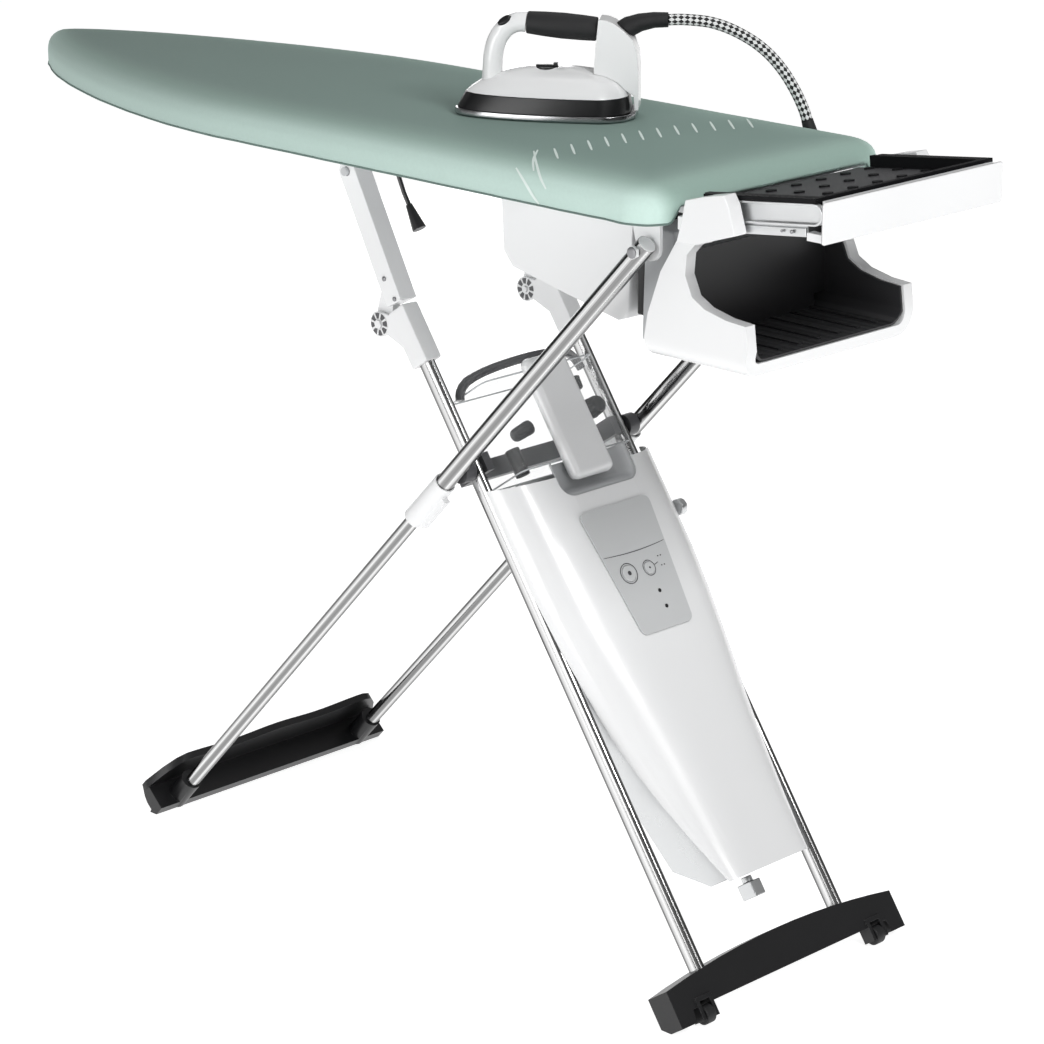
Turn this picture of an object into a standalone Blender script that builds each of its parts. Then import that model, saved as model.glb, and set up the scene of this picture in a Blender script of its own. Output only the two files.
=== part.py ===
"""Ironing system with a steam generator: vacuum board, folding stand, generator and iron.

Metres, +Z up. +X runs along the board to its square tail, the nose is at -X. The origin is on
the floor, near the middle of the length.
"""
import math

import bmesh
import bpy
from mathutils import Euler, Matrix, Vector

# ---------------------------------------------------------------- driving dimensions (metres)
GAP = 0.0003                 # left between solids that touch

BOARD_NOSE_X = -0.771
BOARD_TAIL_X = 0.585
BOARD_HALF_WIDTH = 0.2135
BOARD_TOP_Z = 1.020
BOARD_HEM_Z = 0.972
TAIL_HEM_Z = 0.9935
TAIL_HEM_HALF_WIDTH = 0.158
NOSE_LENGTH = 0.60           # from the tip to where the sides run parallel
TAIL_CORNER_R = 0.050
COVER_THICKNESS = 0.004
PANEL_TOP_Z = 1.006
PANEL_BOTTOM_Z = 0.990

LEG_A_PIVOT = (0.529, 0.934)         # x and z of the front leg's hinge under the tail
LEG_A_TILT = math.radians(43.23)     # lean of the leg from upright, towards +X at the top
LEG_A_HALF_SPACING = 0.1684
LEG_A_UPPER_R = 0.0117
LEG_A_LOWER_R = 0.0095
LEG_A_LENGTH = 1.282                 # hinge to floor, along the leg
FOOT_A_SOCKET = 0.066                # top of the foot's sockets, up the leg from the floor
COLLAR_START = 0.475                 # distances from the hinge, along the leg
COLLAR_END = 0.555

KNUCKLE = (0.0602, 0.7585)           # x and z of the knuckle hinge
ARM_TILT = math.radians(-28.03)
ARM_OFFSET = 0.0386                  # from the knuckle hinge to the arm's centre line
ARM_LENGTH = 0.1906                  # knuckle to the carriage axle, along the arm
ARM_HALF_THICK = 0.0150
ARM_HALF_WIDTH = 0.0140

LEG_B_TILT = math.radians(-34.70)
LEG_B_HALF_SPACING = 0.130
LEG_B_OFFSET = 0.0374                # from the knuckle hinge to the tubes' centre line
SLEEVE_END = 0.0739                  # distances from the knuckle hinge, down the leg
LEG_B_CROSSING = 0.2184
TUBE_B_HALF_DEPTH = 0.0120
TUBE_B_HALF_WIDTH = 0.0080
FOOT_B_TOP = 0.890
FOOT_HALF_LENGTH = 0.2100
KNUCKLE_R = 0.0165
WHEEL_R = 0.0118
WHEEL_PLACE = (0.6395, 0.160, 0.0132)
WHEEL_IN_LEG = (0.0519, -0.9425)     # the same place in the knuckle's own x and z

CASE_TOP = 0.2488                    # steam generator, down the leg from the knuckle
CASE_TOP_SLOPE = 0.354               # how much lower its top edge is, per metre to the front
CASE_BOTTOM = 0.810
CASE_TAPER_START = 0.400
CASE_EDGE_START = 0.594              # where the front shell's edge leaves the tubes
CASE_TOP_HALF_WIDTH = 0.139
CASE_BOTTOM_HALF_WIDTH = 0.073
CASE_EDGE_TOP = 0.013                # the edge, in front of the tubes' plane
CASE_EDGE_BOTTOM = 0.055
CASE_FRONT_DEPTH = 0.065             # the front shell's middle, in front of the tubes' plane
CASE_BACK_DEPTH = 0.046              # the rear shell's back, behind it
CASE_WALL = 0.0025

TANK_TOP = 0.126
TANK_BOTTOM = 0.250
TANK_HALF_WIDTH = 0.098
TANK_FRONT = 0.045
TANK_BACK = -0.030
TANK_WALL = 0.0025

TRAY_ORIGIN = (0.700, 0.0, 1.0027)   # on the rails' centre line
TRAY_TILT = math.radians(6.6)        # the iron rest climbs towards the tail
TRAY_FRONT_X = 0.785
TRAY_FRONT_Z = (0.980, 1.0262)
TRAY_HALF_WIDTH = 0.1485
RAIL_Y = 0.1535
RAIL_HALF_HEIGHT = 0.0126

BIN_HALF_WIDTH = 0.1485
BIN_BOTTOM_Z = 0.803
BIN_WALL = 0.016

IRON_CENTRE = (0.1970, 0.0164)
IRON_HEADING = math.radians(38.6)    # turn of the iron's heel away from +X
IRON_LENGTH = 0.230
IRON_BASE_Z = BOARD_TOP_Z + GAP

CORD_DIAMETER = 0.014
CORD_ROUTE = [                       # from the strain relief to the gland behind the board
    (0.3130, 0.1090, 1.1400), (0.3225, 0.1175, 1.1405), (0.3330, 0.1270, 1.1400),
    (0.3480, 0.1405, 1.1380), (0.3600, 0.1510, 1.1340), (0.3715, 0.1615, 1.1280),
    (0.3830, 0.1720, 1.1200), (0.3935, 0.1815, 1.1110), (0.4030, 0.1900, 1.1005),
    (0.4110, 0.1970, 1.0895), (0.4190, 0.2045, 1.0755), (0.4260, 0.2105, 1.0610),
    (0.4320, 0.2160, 1.0460), (0.4370, 0.2205, 1.0310), (0.4400, 0.2230, 1.0195),
]
GLAND_ROUTE = [(0.4470, 0.2290, 0.978), (0.4460, 0.2280, 0.990), (0.4435, 0.2260, 1.005),
               (0.4402, 0.2232, 1.0189)]
GLAND_RADII = [0.0100, 0.0100, 0.0088, 0.0076]

LEVER_PIVOT = (0.152, -0.1955, 0.9835)
RAIL_LOW = (-0.345, -0.048, 0.962)       # the rack rail under the board
RAIL_HIGH = (0.160, 0.048, PANEL_BOTTOM_Z - GAP)
RAIL_WALL = 0.003

COLLECTION = "steam_ironing_system"


# ---------------------------------------------------------------- scene and materials
def start_scene():
    for old in list(bpy.data.objects):
        bpy.data.objects.remove(old, do_unlink=True)
    parts = bpy.data.collections.new(COLLECTION)
    tools = bpy.data.collections.new("cutters")
    bpy.context.scene.collection.children.link(parts)
    bpy.context.scene.collection.children.link(tools)
    return parts, tools


PARTS, CUTTERS = start_scene()


def material(name, colour, roughness, metallic=0.0, alpha=1.0):
    mat = bpy.data.materials.new(name)
    mat.use_nodes = True
    shader = mat.node_tree.nodes["Principled BSDF"]
    shader.inputs["Base Color"].default_value = (*colour, 1.0)
    shader.inputs["Roughness"].default_value = roughness
    shader.inputs["Metallic"].default_value = metallic
    shader.inputs["Alpha"].default_value = alpha
    mat.diffuse_color = (*colour, 1.0)
    return mat


WHITE = material("white_gloss", (0.86, 0.87, 0.87), 0.25)
SILVER = material("silver_plastic", (0.55, 0.56, 0.57), 0.35)
GREY = material("grey_plastic", (0.46, 0.47, 0.48), 0.45)
DARK_GREY = material("dark_grey_plastic", (0.13, 0.13, 0.14), 0.45)
BLACK = material("black_plastic", (0.02, 0.02, 0.022), 0.45)
RUBBER = material("black_rubber", (0.025, 0.025, 0.027), 0.75)
CHROME = material("chrome_tube", (0.80, 0.81, 0.82), 0.12, 1.0)
STEEL = material("steel", (0.60, 0.61, 0.62), 0.3, 1.0)
CLEAR = material("clear_tank", (0.85, 0.90, 0.92), 0.05, 0.0, 0.35)
COVER = material("cover_fabric", (0.20, 0.33, 0.28), 0.85)
BRAID = material("braided_hose", (0.35, 0.35, 0.36), 0.7)


# ---------------------------------------------------------------- object helpers
def add(name, mesh, mat, parent=None, at=(0, 0, 0), turn=(0, 0, 0), smooth=True):
    """Put a mesh into the model as the named sub-part."""
    obj = bpy.data.objects.new(name, mesh)
    PARTS.objects.link(obj)
    obj.location = at
    obj.rotation_euler = turn
    obj.parent = parent
    mesh.materials.clear()
    mesh.materials.append(mat)
    if smooth:
        mesh.shade_smooth()
        mesh.set_sharp_from_angle(angle=math.radians(35))
    return obj


def pivot(name, at, turn=(0, 0, 0), parent=None):
    empty = bpy.data.objects.new(name, None)
    PARTS.objects.link(empty)
    empty.location = at
    empty.rotation_euler = turn
    empty.parent = parent
    return empty


def mesh_from(name, build):
    """A mesh filled in by build(bm), with its faces turned outwards."""
    bm = bmesh.new()
    build(bm)
    bmesh.ops.recalc_face_normals(bm, faces=bm.faces)
    mesh = bpy.data.meshes.new(name)
    bm.to_mesh(mesh)
    bm.free()
    return mesh


def box_mesh(name, low, high):
    size = [b - a for a, b in zip(low, high)]
    middle = [(a + b) / 2 for a, b in zip(low, high)]
    place = Matrix.Translation(middle) @ Matrix.Diagonal((*size, 1.0))
    return mesh_from(name, lambda bm: bmesh.ops.create_cube(bm, size=1.0, matrix=place))


AXIS_TURN = {
    "x": Matrix.Rotation(math.pi / 2, 4, "Y"),
    "y": Matrix.Rotation(-math.pi / 2, 4, "X"),
    "z": Matrix.Identity(4),
}


def rod_mesh(name, radius, start, length, axis="z", sides=20, top_radius=None, flat=1.0):
    """A round bar from the point start, length long along the axis; flat squashes it in y."""
    end_radius = radius if top_radius is None else top_radius
    place = (Matrix.Translation(start) @ AXIS_TURN[axis]
             @ Matrix.Diagonal((1.0, flat, 1.0, 1.0)) @ Matrix.Translation((0, 0, length / 2)))
    return mesh_from(name, lambda bm: bmesh.ops.create_cone(
        bm, cap_ends=True, segments=sides, radius1=radius, radius2=end_radius,
        depth=length, matrix=place))


def pipe_mesh(name, radius, wall, start, length, axis="z", sides=20, flat=1.0):
    """An open-ended tube: two coaxial walls joined at both ends."""
    def build(bm):
        place = Matrix.Translation(start) @ AXIS_TURN[axis]
        rings = []
        for r, z in ((radius, 0.0), (radius, length), (radius - wall, length), (radius - wall, 0.0)):
            y_scale = (radius * flat - (radius - r)) / r
            rings.append(circle_verts(bm, r, z, sides, place, y_scale))
        for low, high in zip(rings, rings[1:] + rings[:1]):
            bridge(bm, low, high)
    return mesh_from(name, build)


def circle_verts(bm, radius, z, sides, place, y_scale=1.0):
    turns = [2 * math.pi * i / sides for i in range(sides)]
    return [bm.verts.new(place @ Vector((radius * math.cos(a), radius * y_scale * math.sin(a), z)))
            for a in turns]


def bridge(bm, low, high):
    count = len(low)
    for i in range(count):
        j = (i + 1) % count
        bm.faces.new((low[i], low[j], high[j], high[i]))


def loft_mesh(name, rings):
    """A closed solid through rings of equal point count, with flat ends."""
    def build(bm):
        loops = [[bm.verts.new(p) for p in ring] for ring in rings]
        for low, high in zip(loops, loops[1:]):
            bridge(bm, low, high)
        bm.faces.new(loops[0])
        bm.faces.new(loops[-1])
    return mesh_from(name, build)


def sheet_mesh(name, rows):
    """An open surface through rows of equal point count."""
    def build(bm):
        grid = [[bm.verts.new(p) for p in row] for row in rows]
        for low, high in zip(grid, grid[1:]):
            for i in range(len(low) - 1):
                bm.faces.new((low[i], low[i + 1], high[i + 1], high[i]))
    return mesh_from(name, build)


def plate_mesh(name, outline, thickness, place=Matrix.Identity(4)):
    """A flat plate: the outline in local x and y, centred on z = 0, then moved by place."""
    curve = bpy.data.curves.new(name, "CURVE")
    curve.dimensions = "2D"
    curve.fill_mode = "BOTH"
    curve.extrude = thickness / 2
    spline = curve.splines.new("POLY")
    spline.points.add(len(outline) - 1)
    for point, (x, y) in zip(spline.points, outline):
        point.co = (x, y, 0.0, 1.0)
    spline.use_cyclic_u = True
    holder = bpy.data.objects.new(name, curve)
    CUTTERS.objects.link(holder)
    mesh = evaluated_mesh(holder)
    bpy.data.objects.remove(holder, do_unlink=True)
    mesh.transform(place)
    return weld(mesh)


def wire_mesh(name, points, radius, resolution=3, smooth_steps=0, radii=None):
    """A round bar along the points, with closed ends; radii scale the radius at each point."""
    curve = bpy.data.curves.new(name, "CURVE")
    curve.dimensions = "3D"
    curve.bevel_depth = radius
    curve.bevel_resolution = resolution
    curve.use_fill_caps = True
    spline = curve.splines.new("POLY")
    route = smooth_route(points, smooth_steps) if smooth_steps else points
    spline.points.add(len(route) - 1)
    for point, co in zip(spline.points, route):
        point.co = (*co, 1.0)
    for point, scale in zip(spline.points, radii or []):
        point.radius = scale
    holder = bpy.data.objects.new(name, curve)
    CUTTERS.objects.link(holder)
    mesh = evaluated_mesh(holder)
    bpy.data.objects.remove(holder, do_unlink=True)
    return weld(mesh)


def smooth_route(points, steps):
    """Catmull-Rom points through the route."""
    route = [Vector(p) for p in points]
    padded = [route[0] * 2 - route[1]] + route + [route[-1] * 2 - route[-2]]
    smooth = []
    for p0, p1, p2, p3 in zip(padded, padded[1:], padded[2:], padded[3:]):
        for step in range(steps):
            t = step / steps
            smooth.append(0.5 * (2 * p1 + (p2 - p0) * t + (2 * p0 - 5 * p1 + 4 * p2 - p3) * t ** 2
                                 + (3 * p1 - p0 - 3 * p2 + p3) * t ** 3))
    return smooth + [route[-1]]


def evaluated_mesh(obj):
    graph = bpy.context.evaluated_depsgraph_get()
    return bpy.data.meshes.new_from_object(obj.evaluated_get(graph), depsgraph=graph)


def weld(mesh):
    bm = bmesh.new()
    bm.from_mesh(mesh)
    bmesh.ops.remove_doubles(bm, verts=bm.verts, dist=0.00001)
    bmesh.ops.recalc_face_normals(bm, faces=bm.faces)
    bm.to_mesh(mesh)
    bm.free()
    return mesh


# ---------------------------------------------------------------- modifiers
def bevel(obj, width, segments=2, angle=40):
    mod = obj.modifiers.new("Bevel", "BEVEL")
    mod.width = width
    mod.segments = segments
    mod.limit_method = "ANGLE"
    mod.angle_limit = math.radians(angle)
    return obj


def solidify(obj, thickness, offset=-1.0):
    mod = obj.modifiers.new("Solidify", "SOLIDIFY")
    mod.thickness = thickness
    mod.offset = offset
    return obj


def boolean(obj, mesh, operation="DIFFERENCE"):
    """Cut or join obj with a hidden tool that shares its parent and its place."""
    tool = bpy.data.objects.new(f"{obj.name}_tool_{len(obj.modifiers)}", mesh)
    CUTTERS.objects.link(tool)
    tool.parent = obj.parent
    tool.location = obj.location
    tool.rotation_euler = obj.rotation_euler
    tool.hide_render = True
    tool.display_type = "WIRE"
    mod = obj.modifiers.new("Boolean", "BOOLEAN")
    mod.operation = operation
    mod.solver = "EXACT"
    mod.object = tool
    return obj


def cut_box(obj, low, high):
    return boolean(obj, box_mesh(f"{obj.name}_cut", low, high))


def join_box(obj, low, high):
    return boolean(obj, box_mesh(f"{obj.name}_join", low, high), "UNION")


def box(name, low, high, mat, parent=None, round_by=0.0, segments=2):
    obj = add(name, box_mesh(name, low, high), mat, parent)
    return bevel(obj, round_by, segments) if round_by else obj


def rod(name, radius, start, length, mat, axis="z", parent=None, sides=20, **shape):
    return add(name, rod_mesh(name, radius, start, length, axis, sides, **shape), mat, parent)


def both_sides():
    """The near side of the board is -Y, the far side +Y."""
    return (("near", -1), ("far", 1))


XZ_PLATE = Matrix.Rotation(math.pi / 2, 4, "X")      # plate x, y to x, z; thickness along y


def rounded_block_mesh(name, low, high, corner_r, grow=0.0):
    """A box whose upright edges are rounded, optionally grown in x and y."""
    x_low, x_high = low[0] - grow, high[0] + grow
    y_low, y_high = low[1] - grow, high[1] + grow
    r = corner_r + grow
    corners = ((x_high - r, y_high - r, 0), (x_low + r, y_high - r, 90), (x_low + r, y_low + r, 180),
               (x_high - r, y_low + r, 270))
    outline = [(x + r * math.cos(math.radians(start + turn)), y + r * math.sin(math.radians(start + turn)))
               for x, y, start in corners for turn in (0, 30, 60, 90)]
    middle = (low[2] + high[2]) / 2
    return plate_mesh(name, outline, high[2] - low[2], Matrix.Translation((0, 0, middle)))


def xz_plate_mesh(name, outline, y_centre, thickness):
    return plate_mesh(name, outline, thickness, Matrix.Translation((0, y_centre, 0)) @ XZ_PLATE)


# ---------------------------------------------------------------- board
def board_half_width(distance):
    """Half the board's width, at a distance from the nose tip."""
    if distance >= NOSE_LENGTH:
        return BOARD_HALF_WIDTH
    left = 1.0 - distance / NOSE_LENGTH
    return BOARD_HALF_WIDTH * (1.0 - left ** 1.6) ** 0.741


def board_outline(inset):
    """The board seen from above, counter-clockwise, drawn in by inset."""
    nose_steps = [0.0, 0.006, 0.022, 0.05, 0.09, 0.15, 0.22, 0.31, 0.41, 0.51, 0.60]
    squeeze = 1.0 - inset / BOARD_HALF_WIDTH
    shorten = 1.0 - inset / NOSE_LENGTH
    near = [(BOARD_NOSE_X + inset + d * shorten, -board_half_width(d) * squeeze) for d in nose_steps]
    centre_x = BOARD_TAIL_X - TAIL_CORNER_R
    centre_y = BOARD_HALF_WIDTH - TAIL_CORNER_R
    r = TAIL_CORNER_R - inset
    corner = [math.radians(-90 + 15 * i) for i in range(7)]
    near += [(centre_x + r * math.cos(a), -centre_y + r * math.sin(a)) for a in corner]
    return near + [(x, -y) for x, y in reversed(near[1:])]


def ring_at(z, inset):
    return [Vector((x, y, z)) for x, y in board_outline(inset)]


def make_board_panel():
    inset = COVER_THICKNESS + 0.0025
    panel = loft_mesh("board_panel", [ring_at(PANEL_BOTTOM_Z, inset), ring_at(PANEL_TOP_Z - 0.008, inset),
                                      ring_at(PANEL_TOP_Z, inset + 0.012)])
    add("board_panel", panel, GREY)


def make_board_cover():
    """A cap over the panel: outer rings, a turned-in hem and the inner wall."""
    inner = 0.002 + COVER_THICKNESS
    rows = [ring_at(BOARD_TOP_Z, 0.045), ring_at(BOARD_TOP_Z - 0.0025, 0.026),
            ring_at(BOARD_TOP_Z - 0.0075, 0.011), ring_at(BOARD_TOP_Z - 0.016, 0.002),
            ring_at(BOARD_TOP_Z - 0.028, 0.0), ring_at(BOARD_HEM_Z + 0.008, 0.0),
            ring_at(BOARD_HEM_Z, 0.002), ring_at(BOARD_HEM_Z, inner),
            ring_at(PANEL_TOP_Z - 0.008 + GAP, inner), ring_at(PANEL_TOP_Z + GAP, inner + 0.012)]
    cover = add("board_cover", loft_mesh("board_cover", rows), COVER)
    cut_box(cover, (BOARD_TAIL_X - 0.012, -TAIL_HEM_HALF_WIDTH, 0.95),
            (BOARD_TAIL_X + 0.02, TAIL_HEM_HALF_WIDTH, TAIL_HEM_Z))


def make_rack_rail():
    """Channel under the board, open downwards, with the bar that the height lever swings on."""
    rail = box("rack_rail", RAIL_LOW, RAIL_HIGH, STEEL)
    wall = RAIL_WALL
    cut_box(rail, (RAIL_LOW[0] + wall, RAIL_LOW[1] + wall, RAIL_LOW[2] - 0.01),
            (RAIL_HIGH[0] - wall, RAIL_HIGH[1] - wall, RAIL_HIGH[2] - wall))
    x, y, z = LEVER_PIVOT
    boolean(rail, rod_mesh("cross_bar", 0.0030, (x, y - 0.0050, z), -y, "y", 12), "UNION")


def make_fan_housing():
    """White box under the board, open at the top, with a sloping floor."""
    top = PANEL_BOTTOM_Z - GAP
    outline = [(0.242, top), (0.248, 0.878), (0.262, 0.862), (0.440, 0.826), (0.452, 0.830),
               (0.458, 0.845), (0.466, top)]
    housing = add("fan_housing", xz_plate_mesh("fan_housing", outline, 0.0, 0.226), WHITE)
    bevel(housing, 0.006, 2, 60)
    inner = [(0.2455, top + 0.01), (0.2515, 0.880), (0.2640, 0.8655), (0.4400, 0.8300),
             (0.4485, 0.833), (0.4545, 0.846), (0.4625, top + 0.01)]
    boolean(housing, xz_plate_mesh("fan_room", inner, 0.0, 0.219))
    for row in range(2):
        for k in range(4):
            x = 0.300 + 0.022 * k
            z = 0.890 + 0.012 * row
            cut_box(housing, (x, 0.110, z), (x + 0.012, 0.118, z + 0.005))


FAN_CENTRE = (0.352, 0.0, 0.925)


def make_fan():
    """Blower inside the housing: a motor under a turning impeller."""
    x, y, z = FAN_CENTRE
    motor = rod("fan_motor", 0.034, (x, y, z - 0.056), 0.050, DARK_GREY, sides=24)
    join_box(motor, (x - 0.020, -0.1090, z - 0.060), (x + 0.020, 0.1090, z - 0.054))
    centre = pivot("impeller_axis", FAN_CENTRE)
    hub = rod("fan_impeller", 0.016, (0, 0, -0.004), 0.034, BLACK, parent=centre, sides=24)
    boolean(hub, rod_mesh("impeller_plate", 0.058, (0, 0, -0.0035), 0.003, sides=32), "UNION")
    for k in range(7):
        blade = box_mesh("impeller_blade", (0.014, -0.001, -0.0025), (0.056, 0.001, 0.024))
        blade.transform(Matrix.Rotation(2 * math.pi * k / 7, 4, "Z"))
        boolean(hub, blade, "UNION")


def make_filter_cover():
    box("filter_cover", (0.4685, -0.110, 0.838), (0.480, 0.110, 0.948), BLACK, round_by=0.002)


def make_pivot_brackets():
    """White tabs under the tail that carry the front legs, each with its pivot bolt."""
    px, pz = LEG_A_PIVOT
    top = PANEL_BOTTOM_Z - GAP
    for side, sign in both_sides():
        y = sign * 0.1520
        outline = [(px - 0.036, top), (px - 0.022, pz + 0.004)]
        outline += [(px + 0.015 * math.cos(a), pz + 0.015 * math.sin(a))
                    for a in [math.radians(180 + 30 * i) for i in range(7)]]
        outline += [(px + 0.015, pz + 0.030), (px + 0.010, top)]
        tab = add(f"leg_bracket_{side}", xz_plate_mesh("tab", outline, y, 0.005), WHITE)
        join_box(tab, (px - 0.036, min(y, y - sign * 0.022), top - 0.004),
                 (px + 0.010, max(y, y - sign * 0.022), top))
        start = 0.1485 if sign > 0 else -0.1846
        boolean(tab, rod_mesh("bolt", 0.0042, (px, start, pz), 0.0361, "y", 16), "UNION")
        head = 0.1805 if sign > 0 else -0.1846
        boolean(tab, rod_mesh("head", 0.0080, (px, head, pz), 0.0041, "y", 6), "UNION")


def make_tail_frame():
    """White frame at the tail: a cross piece under the board and the two corner posts."""
    frame = box("tail_frame", (0.535, -0.128, 0.975), (0.600, 0.128, 0.9855), WHITE)
    join_box(frame, (0.592, -0.178, 0.970), (0.606, 0.178, 0.9855))
    for sign in (-1, 1):
        outline = [(0.592, 0.9560), (0.6200, 0.9570), (0.6790, 0.9762), (0.6684, 1.0089),
                   (0.6611, 1.0196), (0.6344, 1.0140), (0.6046, 1.0055), (0.5990, 0.9800)]
        boolean(frame, xz_plate_mesh("post", outline, sign * 0.1695, 0.021), "UNION")
    bevel(frame, 0.003, 2, 50)


def rail_outline(half_height, start, straight):
    """A channel's side in the iron rest's own x and z, with a round front end."""
    arc = [math.radians(-90 + 22.5 * i) for i in range(9)]
    outline = [(start, -half_height)]
    outline += [(straight + half_height * math.cos(a), half_height * math.sin(a)) for a in arc]
    return outline + [(start, half_height)]


def make_rails():
    """Fixed channels that the iron rest slides out of, each with a strip under it."""
    frame = pivot("rail_frame", TRAY_ORIGIN, (0, -TRAY_TILT, 0))
    for side, sign in both_sides():
        y = sign * RAIL_Y
        outline = rail_outline(RAIL_HALF_HEIGHT, -0.0870, 0.0724)
        rail = add(f"tray_rail_{side}", xz_plate_mesh("rail", outline, y, 0.007), STEEL, frame)
        pocket = rail_outline(RAIL_HALF_HEIGHT - 0.0028, -0.0840, 0.0714)
        boolean(rail, xz_plate_mesh("pocket", pocket, y + sign * 0.004, 0.0105))
        low, high = sorted((sign * 0.1500, sign * 0.1520))
        join_box(rail, (-0.0870, low, -0.0250), (0.0580, high, -0.0120))
        low, high = sorted((sign * 0.1510, sign * 0.1550))
        join_box(rail, (-0.0450, low, -0.0250), (0.0580, high, -0.0150))


def u_section(half_width, bottom, top, corner_r):
    """A trough's cross-section in y and z, from one top edge round to the other."""
    arc = [math.radians(180 + 22.5 * i) for i in range(5)]
    left = [(-half_width, top)]
    left += [(-half_width + corner_r + corner_r * math.cos(a),
              bottom + corner_r + corner_r * math.sin(a)) for a in arc]
    return left + [(-y, z) for y, z in reversed(left)]


def trough_mesh(name, half_width, bottom, top, corner_r, wall, x_low, x_high):
    outer = u_section(half_width, bottom, top, corner_r)
    inner = u_section(half_width - wall, bottom + wall, top, max(corner_r - wall, 0.002))
    outline = outer + list(reversed(inner))
    rings = [[Vector((x, y, z)) for y, z in outline] for x in (x_low, x_high)]

    def build(bm):
        loops = [[bm.verts.new(p) for p in ring] for ring in rings]
        bridge(bm, loops[0], loops[1])
        count = len(outer)
        for loop in loops:
            for i in range(count - 1):
                j = len(outline) - 1 - i
                bm.faces.new((loop[i], loop[i + 1], loop[j - 1], loop[j]))
    return mesh_from(name, build)


BIN_SIDE = [(0.577, 0.970), (0.567, 0.952), (0.540, 0.908), (0.521, 0.856), (0.515, 0.823),
            (0.516, 0.790), (0.650, 0.790), (0.668, 0.806), (0.674, 0.836), (0.670, 0.866),
            (0.641, 0.868), (0.609, 0.875), (0.589, 0.886), (0.578, 0.910), (0.580, 0.934),
            (0.592, 0.947), (0.606, 0.951), (0.606, 0.970)]


def make_bin():
    """Storage bin under the iron rest: a white trough with a dark lining and a back wall."""
    shell = add("bin_shell", trough_mesh("bin_shell", BIN_HALF_WIDTH, BIN_BOTTOM_Z, 0.9565, 0.024,
                                         BIN_WALL, 0.505, 0.685), WHITE)
    boolean(shell, xz_plate_mesh("bin_side", BIN_SIDE, 0.0, 0.34), "INTERSECT")
    lining_half = BIN_HALF_WIDTH - BIN_WALL - GAP
    floor_z = BIN_BOTTOM_Z + BIN_WALL + GAP
    lining = add("bin_lining", trough_mesh("bin_lining", lining_half, floor_z, 0.9565, 0.020,
                                           0.003, 0.505, 0.685), BLACK)
    join_box(lining, (0.505, -lining_half + 0.001, floor_z + 0.0205), (0.552, lining_half - 0.001, 0.9565))
    join_box(lining, (0.505, -lining_half + 0.021, floor_z + 0.001), (0.552, lining_half - 0.021, 0.9565))
    for k in range(7):
        y = -0.105 + 0.035 * k
        join_box(lining, (0.550, y - 0.003, floor_z + 0.002), (0.655, y + 0.003, floor_z + 0.0050))
    inside = BIN_SIDE[:6] + [(x - 0.003, z - 0.0015) for x, z in BIN_SIDE[6:]]
    boolean(lining, xz_plate_mesh("bin_side_in", inside, 0.0, 0.34), "INTERSECT")


def make_bin_back():
    """Grey housing between the bin and the fan."""
    outline = [(0.4835, 0.812), (0.5110, 0.807), (0.5170, 0.856), (0.5330, 0.900), (0.5330, 0.948),
               (0.4870, 0.948)]
    back = add("bin_back", xz_plate_mesh("bin_back", outline, 0.0, 0.236), GREY)
    bevel(back, 0.003, 2, 50)


def make_gland():
    """Black sleeve on the far edge of the board that the steam hose goes into."""
    gland = add("hose_gland", wire_mesh("hose_gland", GLAND_ROUTE, 1.0, 3, 0, GLAND_RADII), RUBBER)
    x, y, z = GLAND_ROUTE[1]
    join_box(gland, (x - 0.014, BOARD_HALF_WIDTH + 0.0006, z - 0.008), (x + 0.014, y, z + 0.006))


# ---------------------------------------------------------------- iron rest
def tray_frame():
    return pivot("tray_axis", TRAY_ORIGIN, (0, -TRAY_TILT, 0))


def make_tray():
    """Heat-proof iron rest that slides out at the tail."""
    frame = tray_frame()
    make_tray_front(frame)
    inner, outer = 0.1405, 0.1570
    pad = add("tray_pad", box_mesh("tray_pad", (-0.1125, -inner - 0.004, -0.0010),
                                   (0.0762, inner + 0.004, 0.0030)), RUBBER, frame)
    for sign in (-1, 1):
        low, high = sorted((sign * inner, sign * 0.1490))
        join_box(pad, (-0.0920, low, -0.0010), (0.0762, high, 0.0180))
        low, high = sorted((sign * inner, sign * outer))
        join_box(pad, (-0.0870, low, 0.0132), (0.0760, high, 0.0180))
    join_box(pad, (0.0680, -outer, 0.0132), (0.0762, outer, 0.0180))
    join_box(pad, (0.0680, -0.1490, -0.0010), (0.0762, 0.1490, 0.0180))
    for row in range(4):
        for column in range(7):
            x = -0.0860 + 0.042 * row
            y = -0.132 + 0.044 * column
            boolean(pad, rod_mesh("bump", 0.0065, (x, y, 0.0020), 0.0035, sides=10), "UNION")


def make_tray_front(frame):
    """Upright front panel with its two slides and the ears that close the rails."""
    low_z, high_z = TRAY_FRONT_Z
    half = TRAY_HALF_WIDTH
    place = Matrix.LocRotScale(frame.location, frame.rotation_euler, None).inverted()
    panel_mesh = box_mesh("tray_front", (TRAY_FRONT_X - 0.008, -half, low_z),
                          (TRAY_FRONT_X, half, high_z))
    panel_mesh.transform(place)
    panel = add("tray_front", panel_mesh, WHITE, frame)
    for sign in (-1, 1):
        low, high = sorted((sign * (half - 0.004), sign * (half + 0.008)))
        ear = box_mesh("ear", (0.7625, low, low_z + 0.0012), (TRAY_FRONT_X - 0.001, high, low_z + 0.0105))
        ear.transform(place)
        boolean(panel, ear, "UNION")
        low, high = sorted((sign * 0.1425, sign * 0.1480))
        join_box(panel, (-0.0780, low, -0.0125), (0.0815, high, -0.0035))


# ---------------------------------------------------------------- height lever


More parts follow.
